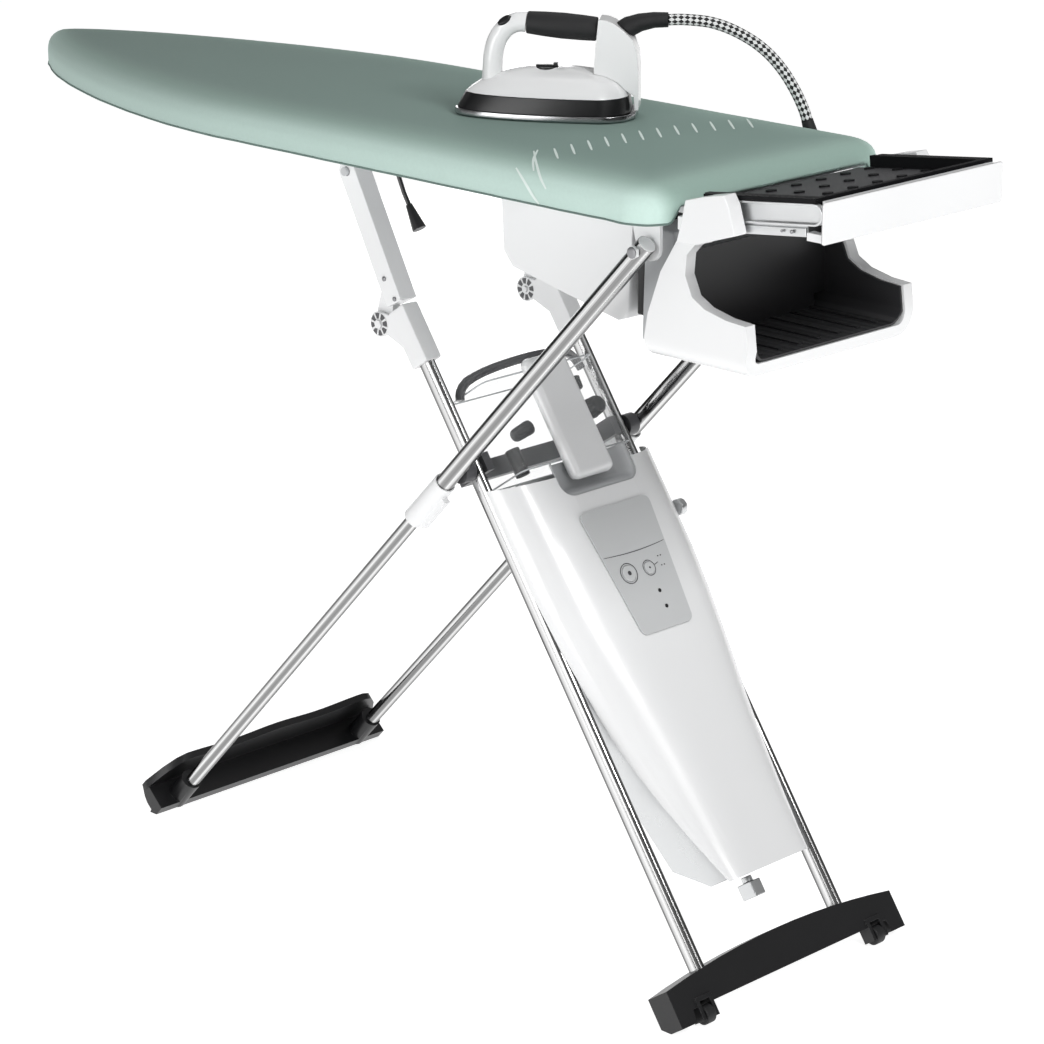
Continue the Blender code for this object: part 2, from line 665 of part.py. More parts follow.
def make_lever():
    axis = pivot("lever_axis", LEVER_PIVOT)
    stem = [(0, 0, 0.003), (0.003, 0, -0.015), (0.012, 0, -0.034), (0.026, 0, -0.056)]
    lever = add("height_lever", wire_mesh("height_lever", stem, 0.0028, 2), BLACK, axis)
    boolean(lever, rod_mesh("eye", 0.0060, (0, -0.0040, 0), 0.0080, "y", 16), "UNION")
    boolean(lever, rod_mesh("bore", 0.0033, (0, -0.01, 0), 0.02, "y", 12))
    knob = rod_mesh("lever_knob", 0.0040, (0, 0, 0), 0.033, "z", 16, top_radius=0.0088)
    knob.transform(Matrix.Translation((0.0200, 0, -0.0470)) @ Matrix.Rotation(math.radians(146), 4, "Y"))
    boolean(lever, knob, "UNION")
    bevel(lever, 0.0020, 2, 60)


# ---------------------------------------------------------------- front legs (leg A)
def make_leg_a():
    """Two telescopic tubes with collars, joined at the floor by the front foot."""
    hinge = pivot("leg_a_axis", (LEG_A_PIVOT[0], 0, LEG_A_PIVOT[1]), (0, LEG_A_TILT, 0))
    for side, sign in both_sides():
        y = sign * LEG_A_HALF_SPACING
        upper = add(f"leg_a_tube_upper_{side}", pipe_mesh(
            "upper", LEG_A_UPPER_R, 0.0015, (0, y, -COLLAR_START - 0.012), COLLAR_START + 0.024,
            sides=24), CHROME, hinge)
        boolean(upper, rod_mesh("bore", 0.0048, (0, y - 0.02, 0), 0.04, "y", 16))
        collar = rod_mesh("collar", 0.0150, (0, y, -COLLAR_END), COLLAR_END - COLLAR_START, sides=24,
                          top_radius=0.0142)
        part = add(f"leg_a_collar_{side}", collar, WHITE, hinge)
        boolean(part, rod_mesh("seat", LEG_A_UPPER_R + GAP, (0, y, -COLLAR_START - 0.012 - GAP),
                               0.05, sides=24))
        boolean(part, rod_mesh("seat", LEG_A_LOWER_R + GAP, (0, y, -COLLAR_END - 0.05), 0.2, sides=24))
        join_box(part, (0.0130, y - 0.005, -COLLAR_END + 0.006), (0.0205, y + 0.005, -COLLAR_START - 0.016))
        bevel(part, 0.0015, 2, 60)
        foot_top = LEG_A_LENGTH - FOOT_A_SOCKET - 0.0005
        add(f"leg_a_tube_lower_{side}", pipe_mesh(
            "lower", LEG_A_LOWER_R, 0.0013, (0, y, -foot_top), foot_top - COLLAR_START - 0.0125 - GAP,
            sides=20), CHROME, hinge)
    make_foot_a(hinge)
    return hinge


def foot_a_top(y):
    """Height of the front foot's back wall above its floor line, along the foot."""
    past = max(0.0, abs(y) - 0.165)
    return 0.078 + 0.003 * math.cos(2 * math.pi * y / 0.16) - 0.048 * (past / 0.045) ** 2


FOOT_A_SIDE = [(-0.0360, 0.0267), (-0.0360, 0.0160), (-0.0334, 0.0148), (-0.0225, 0.0080),
               (-0.0124, 0.0050), (-0.0010, 0.0050), (0.0020, -0.0100), (0.0100, -0.0100),
               (0.0100, 0.0267)]


def make_foot_a(hinge):
    """Black foot: a low base that the tubes stand on, with a scalloped back wall."""
    base = -LEG_A_LENGTH
    steps = 28
    ys = [-FOOT_HALF_LENGTH + 2 * FOOT_HALF_LENGTH * i / steps for i in range(steps + 1)]
    outline = [(y, foot_a_top(y)) for y in reversed(ys)]
    outline += [(-FOOT_HALF_LENGTH, 0.018), (FOOT_HALF_LENGTH, 0.018)]
    place = (Matrix.Translation((-0.0308, 0, base)) @ Matrix.Rotation(math.pi / 2, 4, "Z")
             @ Matrix.Rotation(math.pi / 2, 4, "X"))
    foot = add("foot_a", plate_mesh("foot_a", outline, 0.0100, place), BLACK, hinge)
    side = [(x, z + base) for x, z in FOOT_A_SIDE]
    boolean(foot, xz_plate_mesh("base", side, 0.0, 2 * FOOT_HALF_LENGTH - 0.001), "UNION")
    for sign in (-1, 1):
        boolean(foot, rod_mesh("socket", 0.0150, (-0.003, sign * LEG_A_HALF_SPACING, base + 0.012),
                               FOOT_A_SOCKET - 0.012, sides=20), "UNION")
    cut_floor(foot, hinge)


def cut_floor(foot, hinge):
    """Trim a foot at the floor, z = 0, through its hinge's own frame."""
    frame = Matrix.LocRotScale(hinge.location, hinge.rotation_euler, None)
    slab = box_mesh("floor", (-1.5, -0.5, -0.5), (1.5, 0.5, 0.0))
    slab.transform(frame.inverted())
    boolean(foot, slab)


# ---------------------------------------------------------------- carriage and arms
def carriage_place():
    x, z = KNUCKLE
    dx, dz = ARM_OFFSET, ARM_LENGTH
    return (x + dx * math.cos(ARM_TILT) + dz * math.sin(ARM_TILT),
            z - dx * math.sin(ARM_TILT) + dz * math.cos(ARM_TILT))


def make_carriage():
    """Slider under the rack rail, with the axle that the arms swing on."""
    x, z = carriage_place()
    slider = pivot("carriage_axis", (x, 0, z))
    block = box("carriage", (-0.028, -0.060, -0.010), (0.028, 0.060, 0.961 - z), STEEL, slider)
    boolean(block, rod_mesh("axle", 0.0055, (0, -0.149, 0), 0.298, "y", 20), "UNION")


def make_arms():
    """Upper arms between the carriage and the knuckles, boxed, with an ear at the knuckle."""
    x, z = carriage_place()
    swing = pivot("arm_axis", (x, 0, z), (0, ARM_TILT, 0))
    low = -ARM_LENGTH
    for side, sign in both_sides():
        y = sign * LEG_B_HALF_SPACING
        half = ARM_HALF_THICK
        outline = [(-half, low + 0.014), (half, low + 0.014), (half, -0.004)]
        outline += [(half * math.cos(a), half * math.sin(a))
                    for a in [math.radians(30 * i) for i in range(7)]]
        arm = add(f"arm_{side}", xz_plate_mesh("arm", outline, y, 2 * ARM_HALF_WIDTH), GREY, swing)
        bevel(arm, 0.0025, 2, 60)
        ear = [(-ARM_OFFSET + 0.0150 * math.cos(a), low + 0.0150 * math.sin(a))
               for a in [math.radians(120 + 15 * i) for i in range(13)]]
        ear += [(-0.006, low + 0.020), (-0.010, low + 0.050)]
        boolean(arm, xz_plate_mesh("ear", ear, y, 0.0120), "UNION")
        boolean(arm, rod_mesh("bore", 0.0060, (0, y - 0.03, 0), 0.06, "y", 20))
        boolean(arm, rod_mesh("pin", 0.0039, (-ARM_OFFSET, y - 0.0163, low), 0.0326, "y", 16), "UNION")
        head_y = y + 0.0134 if sign > 0 else y - 0.0163
        boolean(arm, rod_mesh("head", 0.0060, (-ARM_OFFSET, head_y, low), 0.0029, "y", 6), "UNION")
    return swing


# ---------------------------------------------------------------- rear legs (leg B)
def make_leg_b():
    """Sleeves with the knuckle ears, chrome tubes, cross pieces and the wheeled foot."""
    x, z = KNUCKLE
    knuckle = pivot("leg_b_axis", (x, 0, z), (0, LEG_B_TILT, 0))
    n = LEG_B_OFFSET
    for side, sign in both_sides():
        y = sign * LEG_B_HALF_SPACING
        sleeve = box(f"sleeve_{side}", (n - 0.0160, y - 0.0135, -SLEEVE_END),
                     (n + 0.0160, y + 0.0135, 0.004), GREY, knuckle, 0.003)
        for ear_side in (-1, 1):
            ear_y = y + ear_side * 0.0100
            ear = [(KNUCKLE_R * math.cos(a), KNUCKLE_R * math.sin(a))
                   for a in [math.radians(75 + 15 * i) for i in range(15)]]
            ear += [(n - 0.014, -0.044), (n - 0.014, 0.001)]
            boolean(sleeve, xz_plate_mesh("ear", ear, ear_y, 0.0060), "UNION")
        boolean(sleeve, rod_mesh("bore", 0.0043, (0, y - 0.03, 0), 0.06, "y", 16))
        boolean(sleeve, rod_mesh("seat", TUBE_B_HALF_DEPTH + GAP, (n, y, -SLEEVE_END - 0.02), 0.050,
                                 sides=24, flat=(TUBE_B_HALF_WIDTH + GAP) / (TUBE_B_HALF_DEPTH + GAP)))
        ribs(sleeve, y + sign * 0.0130)
        bottom = FOOT_B_TOP + 0.002
        tube = add(f"leg_b_tube_{side}", pipe_mesh(
            "tube", TUBE_B_HALF_DEPTH, 0.0013, (n, y, -bottom), bottom - SLEEVE_END + 0.0295,
            sides=24, flat=TUBE_B_HALF_WIDTH / TUBE_B_HALF_DEPTH), CHROME, knuckle)
        boolean(tube, rod_mesh("bore", 0.0063, (n, y - 0.02, -LEG_B_CROSSING), 0.04, "y", 16))
    make_cross_pieces(knuckle)
    make_foot_b(knuckle)
    return knuckle


def ribs(sleeve, face_y):
    """Radial ribs on the outer face of a knuckle ear."""
    for k in range(8):
        rib = box_mesh("rib", (0.0070, face_y - 0.0010, -0.0011), (0.0150, face_y + 0.0010, 0.0011))
        rib.transform(Matrix.Rotation(2 * math.pi * k / 8, 4, "Y"))
        boolean(sleeve, rib, "UNION")


def make_cross_pieces(knuckle):
    n = LEG_B_OFFSET
    inner = LEG_B_HALF_SPACING - TUBE_B_HALF_WIDTH - GAP
    bar = rod("pivot_bar", 0.0060, (n, -0.1560, -LEG_B_CROSSING), 0.3120, DARK_GREY, "y", knuckle, 20)
    low_z = -LEG_B_CROSSING - 0.010
    boolean(bar, rod_mesh("gap", 0.1, (n, -0.112, -LEG_B_CROSSING), 0.224, "y", 8))
    join_box(bar, (n - 0.046, -inner + 0.001, low_z), (n - 0.034, inner - 0.001, low_z + 0.024))
    for sign in (-1, 1):
        low, high = sorted((sign * 0.1085, sign * (inner - 0.001)))
        join_box(bar, (n - 0.040, low, low_z), (n + 0.012, high, low_z + 0.024))
        start = 0.1386 if sign > 0 else -0.1560
        boolean(bar, rod_mesh("boss", 0.0145, (n, start, -LEG_B_CROSSING), 0.0174, "y", 24), "UNION")


def foot_b_top(y):
    return -0.899 + 0.016 * (1 - (y / FOOT_HALF_LENGTH) ** 2)


def make_foot_b(knuckle):
    """Black arched foot with a pad at each end and a bay for each transport wheel."""
    n = LEG_B_OFFSET
    end = FOOT_HALF_LENGTH
    ys = [end * (1 - 2 * i / 12) for i in range(13)]
    outline = [(y, foot_b_top(y)) for y in ys]
    outline += [(-end, -0.9475), (-0.184, -0.9475), (-0.181, -0.931), (0.181, -0.931), (0.184, -0.9475),
                (end, -0.9475)]
    place = (Matrix.Translation((n + 0.0035, 0, 0)) @ Matrix.Rotation(math.pi / 2, 4, "Z")
             @ Matrix.Rotation(math.pi / 2, 4, "X"))
    foot = add("foot_b", plate_mesh("foot_b", outline, 0.036, place), BLACK, knuckle)
    for sign in (-1, 1):
        y = sign * LEG_B_HALF_SPACING
        boolean(foot, rod_mesh("seat", TUBE_B_HALF_DEPTH + GAP, (n, y, -FOOT_B_TOP - 0.0025), 0.2,
                               sides=24, flat=(TUBE_B_HALF_WIDTH + GAP) / (TUBE_B_HALF_DEPTH + GAP)))
        y = sign * WHEEL_PLACE[1]
        join_box(foot, (n + 0.0050, y - 0.0140, -0.9490), (n + 0.0235, y + 0.0140, -0.9200))
        cut_box(foot, (n + 0.0020, y - 0.0085, -0.9900), (n + 0.0300, y + 0.0085, -0.9255))
        boolean(foot, rod_mesh("bore", 0.0038, (WHEEL_IN_LEG[0], y - 0.0112, WHEEL_IN_LEG[1]), 0.0224,
                               "y", 12))
    cut_floor(foot, knuckle)
    bevel(foot, 0.0025, 1, 60)


def make_wheels():
    for side, sign in both_sides():
        x, y, z = WHEEL_PLACE
        axle = pivot(f"wheel_axis_{side}", (x, sign * y, z))
        wheel = rod(f"wheel_{side}", WHEEL_R, (0, -0.0075, 0), 0.015, RUBBER, "y", axle, 24)
        boolean(wheel, rod_mesh("hub", 0.0035, (0, -0.0102, 0), 0.0204, "y", 12), "UNION")
        bevel(wheel, 0.002, 2, 50)


# ---------------------------------------------------------------- steam generator
def case_half_width(depth):
    """Half the case's width, at a distance down the leg from the knuckle."""
    t = max(0.0, (depth - CASE_TAPER_START) / (CASE_BOTTOM - CASE_TAPER_START))
    return CASE_TOP_HALF_WIDTH - (CASE_TOP_HALF_WIDTH - CASE_BOTTOM_HALF_WIDTH) * t ** 1.4


def case_edge(depth):
    """How far in front of the tubes' plane the front shell's edge lies."""
    t = max(0.0, (depth - CASE_EDGE_START) / (CASE_BOTTOM - CASE_EDGE_START))
    return CASE_EDGE_TOP + (CASE_EDGE_BOTTOM - CASE_EDGE_TOP) * t ** 1.4


def case_front(depth, y, grow=0.0):
    """The front shell's height over the tubes' plane."""
    width = case_half_width(depth)
    share = min(1.0, abs(y) / width)
    edge = case_edge(depth)
    return edge + (CASE_FRONT_DEPTH - edge) * (1 - share ** 3.2) ** 0.55 + grow


SHELL_SHARES = [-1.0, -0.985, -0.94, -0.86, -0.74, -0.58, -0.38, -0.15,
                0.15, 0.38, 0.58, 0.74, 0.86, 0.94, 0.985, 1.0]


def shell_point(depth, share):
    """A point of the front shell: a depth down the leg, and a share of the half width."""
    y = share * case_half_width(depth)
    height = case_front(depth, y)
    return Vector((LEG_B_OFFSET + height, y, -depth))


def shell_top_point(share):
    point = shell_point(CASE_TOP, share)
    point.z -= CASE_TOP_SLOPE * (point.x - LEG_B_OFFSET)
    return point


def make_front_shell(knuckle):
    depths = [0.285, 0.34, CASE_TAPER_START, 0.46, 0.52, 0.56, CASE_EDGE_START, 0.64, 0.69, 0.74, 0.78,
              CASE_BOTTOM]
    rows = [[shell_top_point(s) for s in SHELL_SHARES]]
    rows += [[shell_point(d, s) for s in SHELL_SHARES] for d in depths]
    shell = add("case_front", sheet_mesh("case_front", rows), WHITE, knuckle)
    solidify(shell, CASE_WALL)
    boolean(shell, recess_mesh())
    return shell


def recess_mesh():
    """The pocket at the top of the front shell that the tank handle stands in."""
    corner = [math.radians(-15 - 15 * i) for i in range(6)]
    right = [(0.072, 0.05), (0.068, -0.0210), (0.0680, -0.0315)]
    right += [(0.0480 + 0.0200 * math.cos(a), -0.0315 + 0.0200 * math.sin(a)) for a in corner]
    outline = right + [(-x, y) for x, y in reversed(right)]
    place = (Matrix.Translation((LEG_B_OFFSET + 0.05, 0, -CASE_TOP))
             @ Matrix.Rotation(math.pi / 2, 4, "Z") @ Matrix.Rotation(math.pi / 2, 4, "X"))
    return plate_mesh("recess", outline, 0.12, place)


def make_rear_shell(knuckle):
    """Grey tub behind the front shell, between the tubes, open towards the front."""
    n = LEG_B_OFFSET
    rows = []
    for d in (0.2560, 0.40, 0.48, 0.54, 0.594, 0.66, 0.72, 0.770, 0.788, 0.806):
        width = min(0.117, case_half_width(d) - 0.0045)
        edge = case_edge(d) + 0.004 - 0.007 * max(0.0, (d - 0.60) / 0.21)
        back = -CASE_BACK_DEPTH + 0.044 * max(0.0, (d - 0.770) / 0.036)
        section = [(-width, edge), (-width, back + 0.020), (-width + 0.020, back), (0.0, back),
                   (width - 0.020, back), (width, back + 0.020), (width, edge)]
        rows.append([Vector((n + z, y, -d)) for y, z in section])
    shell = add("case_rear", sheet_mesh("case_rear", rows), SILVER, knuckle)
    solidify(shell, CASE_WALL)


def make_generator(knuckle):
    n = LEG_B_OFFSET
    shell = make_front_shell(knuckle)
    make_rear_shell(knuckle)
    pump = box("tank_seat", (n - 0.033, -0.100, -TANK_BOTTOM - 0.0135),
               (n + 0.030, 0.100, -TANK_BOTTOM - 0.0095), DARK_GREY, knuckle)
    join_box(pump, (n - 0.030, -0.035, -0.340), (n + 0.020, 0.035, -TANK_BOTTOM - 0.012))
    boiler = rod("boiler", 0.036, (n + 0.004, 0, -0.62), 0.24, STEEL, parent=knuckle, sides=28)
    bevel(boiler, 0.008, 3, 60)
    make_panel(knuckle, shell)
    make_plug(knuckle)


PANEL_DEPTHS = [0.3250, 0.3265, 0.3300, 0.3350, 0.365, 0.40, 0.44, 0.48, 0.4860, 0.4900, 0.4928, 0.4940]
PANEL_CORNER_R = 0.009


def panel_half_width(depth):
    """Half the control panel's width: it narrows downwards and has round corners."""
    half = 0.0630 - 0.0180 * (depth - PANEL_DEPTHS[0]) / (PANEL_DEPTHS[-1] - PANEL_DEPTHS[0])
    from_end = min(depth - PANEL_DEPTHS[0], PANEL_DEPTHS[-1] - depth)
    short = max(0.0, PANEL_CORNER_R - from_end)
    return half - PANEL_CORNER_R + math.sqrt(PANEL_CORNER_R ** 2 - short ** 2)


def make_panel(knuckle, shell):
    """Control panel laid over the front shell, following its curve, with its two buttons."""
    n = LEG_B_OFFSET
    rows = [[Vector((n + case_front(d, panel_half_width(d) * s, 0.0026), panel_half_width(d) * s, -d))
             for s in (-1, -0.66, -0.33, 0, 0.33, 0.66, 1)] for d in PANEL_DEPTHS]
    panel = add("control_panel", sheet_mesh("control_panel", rows), SILVER, knuckle)
    solidify(panel, 0.0015)
    buttons = (("button_power", -0.026, 0.414, 0.0105), ("button_mode", 0.010, 0.415, 0.0080))
    for name, y, d, radius in buttons:
        front = n + case_front(d, y)
        for wall in (panel, shell):
            boolean(wall, rod_mesh("seat", radius + 0.0006, (front - 0.02, y, -d), 0.04, "x", 20))
        button = pivot(f"{name}_axis", (front + 0.0006, y, -d), parent=knuckle)
        cap = rod(name, radius, (0, 0, 0), 0.0034, WHITE, "x", button, 20)
        bevel(cap, 0.0008, 1, 50)


SIDE_KNOB = (0.026, 0.1392, 0.346)


def make_side_knob(knuckle):
    depth, y, d = SIDE_KNOB
    axis = pivot("steam_knob_axis", (LEG_B_OFFSET + depth, y, -d), parent=knuckle)
    knob = rod("steam_knob", 0.0110, (0, 0.0004, 0), 0.0106, SILVER, "y", axis, 12)
    bevel(knob, 0.0012, 2, 50)


def make_plug(knuckle):
    n = LEG_B_OFFSET
    axis = pivot("drain_plug_axis", (n + 0.009, 0, -0.8150), parent=knuckle)
    plug = box("drain_plug", (-0.0125, -0.0095, -0.0235), (0.0125, 0.0095, -0.0035), SILVER, axis)
    boolean(plug, rod_mesh("neck", 0.0070, (0, 0, -0.0040), 0.0080, sides=16), "UNION")
    bevel(plug, 0.0012, 2, 50)


# ---------------------------------------------------------------- water tank
def make_tank(knuckle):
    """Clear tank that stands on the case between the tubes, with its handle in front."""
    n = LEG_B_OFFSET
    axis = pivot("tank_axis", (n, 0, -TANK_BOTTOM), parent=knuckle)
    height = TANK_BOTTOM - TANK_TOP
    low = (TANK_BACK, -TANK_HALF_WIDTH, 0.0)
    high = (TANK_FRONT, TANK_HALF_WIDTH, height)
    tank = add("tank_body", rounded_block_mesh("tank_body", low, high, 0.012), CLEAR, axis)
    room = ((*low[:2], TANK_WALL), (*high[:2], 1.0))
    boolean(tank, rounded_block_mesh("tank_room", *room, 0.012, -TANK_WALL))
    cap = add("tank_lid", rounded_block_mesh("tank_lid", (*low[:2], height + GAP),
                                             (*high[:2], height + 0.0055), 0.012, -0.004), CLEAR, axis)
    join_box(cap, (-0.024, -0.030, height + 0.004), (0.014, 0.046, height + 0.0130))
    bevel(cap, 0.002, 2, 60)
    column = box("tank_handle", (TANK_FRONT + GAP, -0.036, -0.030), (0.0655, 0.036, height + 0.012),
                 SILVER, axis, 0.010, 3)
    rod("water_valve", 0.0095, (0.010, -0.068, 0.0030), 0.036, BLACK, parent=axis, sides=16)
    half_bow = [(0.004, 0.1085, height - 0.006), (0.006, 0.1045, height + 0.004),
                (0.012, 0.093, height + 0.0135), (0.022, 0.070, height + 0.018),
                (0.028, 0.035, height + 0.020)]
    ends = [(x, -y, z) for x, y, z in half_bow] + [(0.030, 0.0, height + 0.0205)] + half_bow[::-1]
    add("bow_handle", wire_mesh("bow_handle", ends, 0.0062, 2, 2), GREY, axis)


# ---------------------------------------------------------------- iron
def iron_outline(half_width, nose, heel, lift):
    """A pointed sole's outline in the iron's own x (nose to heel) and y."""
    points = []
    for k in range(9):
        t = k / 8
        x = nose + (heel - nose) * 0.80 * (1 - math.cos(t * math.pi / 2))
        y = half_width * math.sin(t * math.pi / 2) ** 0.95
        points.append((x, -y))
    for a in [math.radians(-72 + 24 * i) for i in range(3)]:
        points.append((nose + (heel - nose) * (0.80 + 0.20 * math.cos(a)), half_width * math.sin(a)))
    mirrored = [(x, -y) for x, y in reversed(points[1:])]
    return [Vector((x, y, lift)) for x, y in points + mirrored]


def iron_frame():
    return pivot("iron_axis", (*IRON_CENTRE, IRON_BASE_Z), (0, 0, IRON_HEADING))


IRON_SHELL = [(0.0525, 0.0150, 0.0100, 0.0288), (0.0490, 0.0230, 0.0140, 0.0360),
              (0.0420, 0.0350, 0.0210, 0.0440), (0.0330, 0.0510, 0.0320, 0.0510),
              (0.0220, 0.0700, 0.0510, 0.0565), (0.0100, 0.0900, 0.0720, 0.0600)]
STRUT = [(-0.0690, 0, 0.0400), (-0.0672, 0, 0.0600), (-0.0660, 0, 0.0760), (-0.0615, 0, 0.0920),
         (-0.0525, 0, 0.1055), (-0.0420, 0, 0.1125), (-0.0330, 0, 0.1145), (-0.0258, 0, 0.1140)]
STRUT_RADIUS = 0.0125
COLUMN_SIDE = [(0.0587, 0.0400), (0.0590, 0.0600), (0.0612, 0.0900), (0.0643, 0.1215), (0.0740, 0.1205),
               (0.0830, 0.1170), (0.0950, 0.1080), (0.1062, 0.0975), (0.1120, 0.0820), (0.1140, 0.0620),
               (0.1140, 0.0110), (0.1090, 0.0110), (0.1080, 0.0290), (0.0900, 0.0400)]
GRIP_RINGS = [(0.0, 0.0128), (0.0015, 0.0138), (0.022, 0.0152), (0.044, 0.0160), (0.068, 0.0156),
              (0.0850, 0.0148), (0.0864, 0.0138)]
GRIP_START = (-0.0248, 0.0, 0.1138)
GRIP_PITCH = math.radians(4.65)


def iron_ring(half_width, from_nose, from_heel, lift, grow=0.0):
    half = IRON_LENGTH / 2
    return iron_outline(half_width + grow, from_nose - half - grow, half - from_heel + grow, lift + grow)


def make_iron():
    """Steam iron: sole, skirt, shell with the front strut, grip, rear column and controls."""
    axis = iron_frame()
    add("iron_soleplate", loft_mesh("iron_soleplate", [
        iron_ring(0.0550, 0.0030, 0.0030, 0.0), iron_ring(0.0580, 0.0, 0.0, 0.0022),
        iron_ring(0.0575, 0.0010, 0.0010, 0.0085)]), CHROME, axis)
    add("iron_skirt", loft_mesh("iron_skirt", [
        iron_ring(0.0560, 0.0035, 0.0070, 0.0088), iron_ring(0.0530, 0.0140, 0.0110, 0.0285)]),
        BLACK, axis)
    shell = add("iron_body", loft_mesh("iron_body", [iron_ring(*ring) for ring in IRON_SHELL]),
                WHITE, axis)
    boolean(shell, wire_mesh("iron_strut", STRUT, STRUT_RADIUS, 3, 3), "UNION")
    seat = rod_mesh("button_seat", 0.0096, (0, 0, 0.0060), 0.03, sides=20, flat=0.55)
    seat.transform(button_place())
    boolean(shell, seat)
    boolean(shell, rod_mesh("dial_seat", 0.0146, (0, 0, 0.0560), 0.02, sides=24))
    make_iron_handle(axis)
    make_iron_controls(axis)
    return axis


BUTTON_PLACE = (-0.0470, 0.0, 0.1095)            # on the strut's centre line
BUTTON_TURN = (math.radians(42), math.radians(-34), 0.0)


def button_place():
    return Matrix.LocRotScale(Vector(BUTTON_PLACE), Euler(BUTTON_TURN), None)


def ring_about_x(x, radius, sides=20):
    turns = [2 * math.pi * i / sides for i in range(sides)]
    return [Vector((x, radius * math.cos(a), radius * math.sin(a))) for a in turns]


def make_iron_handle(axis):
    grip = loft_mesh("iron_grip", [ring_about_x(x, r) for x, r in GRIP_RINGS])
    add("iron_grip", grip, BLACK, axis, GRIP_START, (0, GRIP_PITCH, 0))
    column = add("iron_column", xz_plate_mesh("iron_column", COLUMN_SIDE, 0.0, 0.042), WHITE, axis)
    bevel(column, 0.008, 3, 50)
    boolean(column, loft_mesh("dome", [iron_ring(0.06, -0.01, -0.001, -0.05),
                                       iron_ring(0.0560, 0.0035, 0.0070, 0.0088, GAP)]
                              + [iron_ring(*ring, GAP) for ring in IRON_SHELL]))


def make_iron_controls(axis):
    button = pivot("iron_button_axis", BUTTON_PLACE, BUTTON_TURN, axis)
    cap = rod("iron_button", 0.0090, (0, 0, 0.0083), 0.0062, BLACK, parent=button, sides=20, flat=0.5)
    bevel(cap, 0.0008, 1, 50)
    dial = pivot("iron_dial_axis", (0.0, 0, 0.0563), parent=axis)
    disc = rod("iron_dial", 0.0140, (0, 0, 0.0), 0.0040, BLACK, parent=dial, sides=24)
    join_box(disc, (-0.0135, -0.0022, 0.0030), (0.0080, 0.0022, 0.0058))
    join_box(disc, (0.0080, -0.0035, 0.0030), (0.0130, 0.0035, 0.0085))
    relief = [(0.0880, 0, 0.1020), (0.1000, 0, 0.1105), (0.1140, 0, 0.1160), (0.1310, 0, 0.1192),
              (0.1480, 0, 0.1197)]
    base = add("iron_strain_relief", wire_mesh("iron_strain_relief", relief, 1.0, 3, 0,
                                               [0.0135, 0.0130, 0.0112, 0.0098, 0.0092]), RUBBER, axis)
    grown = [(x + 0.0006, z + 0.0006) for x, z in COLUMN_SIDE[3:10]]
    boolean(base, xz_plate_mesh("column_room", [(0.02, 0.1221)] + grown + [(0.02, 0.0620)], 0.0, 0.06))


def make_cord():
    add("steam_cord", wire_mesh("steam_cord", CORD_ROUTE, CORD_DIAMETER / 2, 2), BRAID)


# ---------------------------------------------------------------- assembly
def main():
    make_board_panel()
    make_board_cover()
    make_rack_rail()
    make_fan_housing()
    make_fan()
    make_filter_cover()
    make_pivot_brackets()
    make_tail_frame()
    make_rails()
    make_bin()
    make_bin_back()
    make_gland()
    make_tray()
    make_lever()
    make_leg_a()
    make_carriage()
    make_arms()
    knuckle = make_leg_b()
    make_wheels()
    make_generator(knuckle)
    make_side_knob(knuckle)
    make_tank(knuckle)
    make_iron()
    make_cord()


main()
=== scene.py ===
"""Looks of the steam generator iron with its ironing board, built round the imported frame."""

import math

import bpy
from mathutils import Matrix, Vector, noise
from mathutils.bvhtree import BVHTree


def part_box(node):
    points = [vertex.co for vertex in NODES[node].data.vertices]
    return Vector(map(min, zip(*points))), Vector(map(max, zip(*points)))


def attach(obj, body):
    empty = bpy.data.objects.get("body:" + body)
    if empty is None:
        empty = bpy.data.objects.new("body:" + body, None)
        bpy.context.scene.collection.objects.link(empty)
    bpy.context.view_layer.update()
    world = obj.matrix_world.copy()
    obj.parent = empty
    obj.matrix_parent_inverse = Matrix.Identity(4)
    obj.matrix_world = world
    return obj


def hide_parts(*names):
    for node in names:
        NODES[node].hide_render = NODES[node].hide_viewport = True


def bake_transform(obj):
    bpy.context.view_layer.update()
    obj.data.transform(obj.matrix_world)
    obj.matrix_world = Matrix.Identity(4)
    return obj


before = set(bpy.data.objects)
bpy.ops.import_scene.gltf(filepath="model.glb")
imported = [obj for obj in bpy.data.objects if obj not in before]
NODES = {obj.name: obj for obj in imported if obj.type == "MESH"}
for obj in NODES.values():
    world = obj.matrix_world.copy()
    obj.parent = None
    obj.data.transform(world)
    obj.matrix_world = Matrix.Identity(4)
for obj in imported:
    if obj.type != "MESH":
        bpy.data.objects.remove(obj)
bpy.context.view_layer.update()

COLLECTION = bpy.context.scene.collection

BOARD_NOSE_X = -0.771
BOARD_TAIL_X = 0.585
BOARD_HALF_WIDTH = 0.2135
BOARD_TOP_Z = 1.020
BOARD_HEM_Z = 0.972
TAIL_HEM_Z = 0.9935
TAIL_HEM_HALF_WIDTH = 0.158
NOSE_LENGTH = 0.60
TAIL_CORNER_R = 0.050
PANEL_TOP_Z = 1.006
IRON_PLACE = Vector((0.1970, 0.0164, 1.0203))
KNUCKLE = Vector((0.0602, 0.0, 0.7585))
LEG_B_TURN = math.radians(-34.70)
TRAY_PLACE = Vector((0.700, 0.0, 1.0027))
TRAY_TURN = math.radians(-6.6)
LEG_A_UP = Vector((0.685, 0.0, 0.7286)).normalized()
CAMERA_PLACE = Vector((3.096, -2.943, 1.815))
HOSE_DIAMETER = 0.014
BRAID_CELL = 0.0076                  # along the hose
BRAID_STRANDS = 8                    # round it
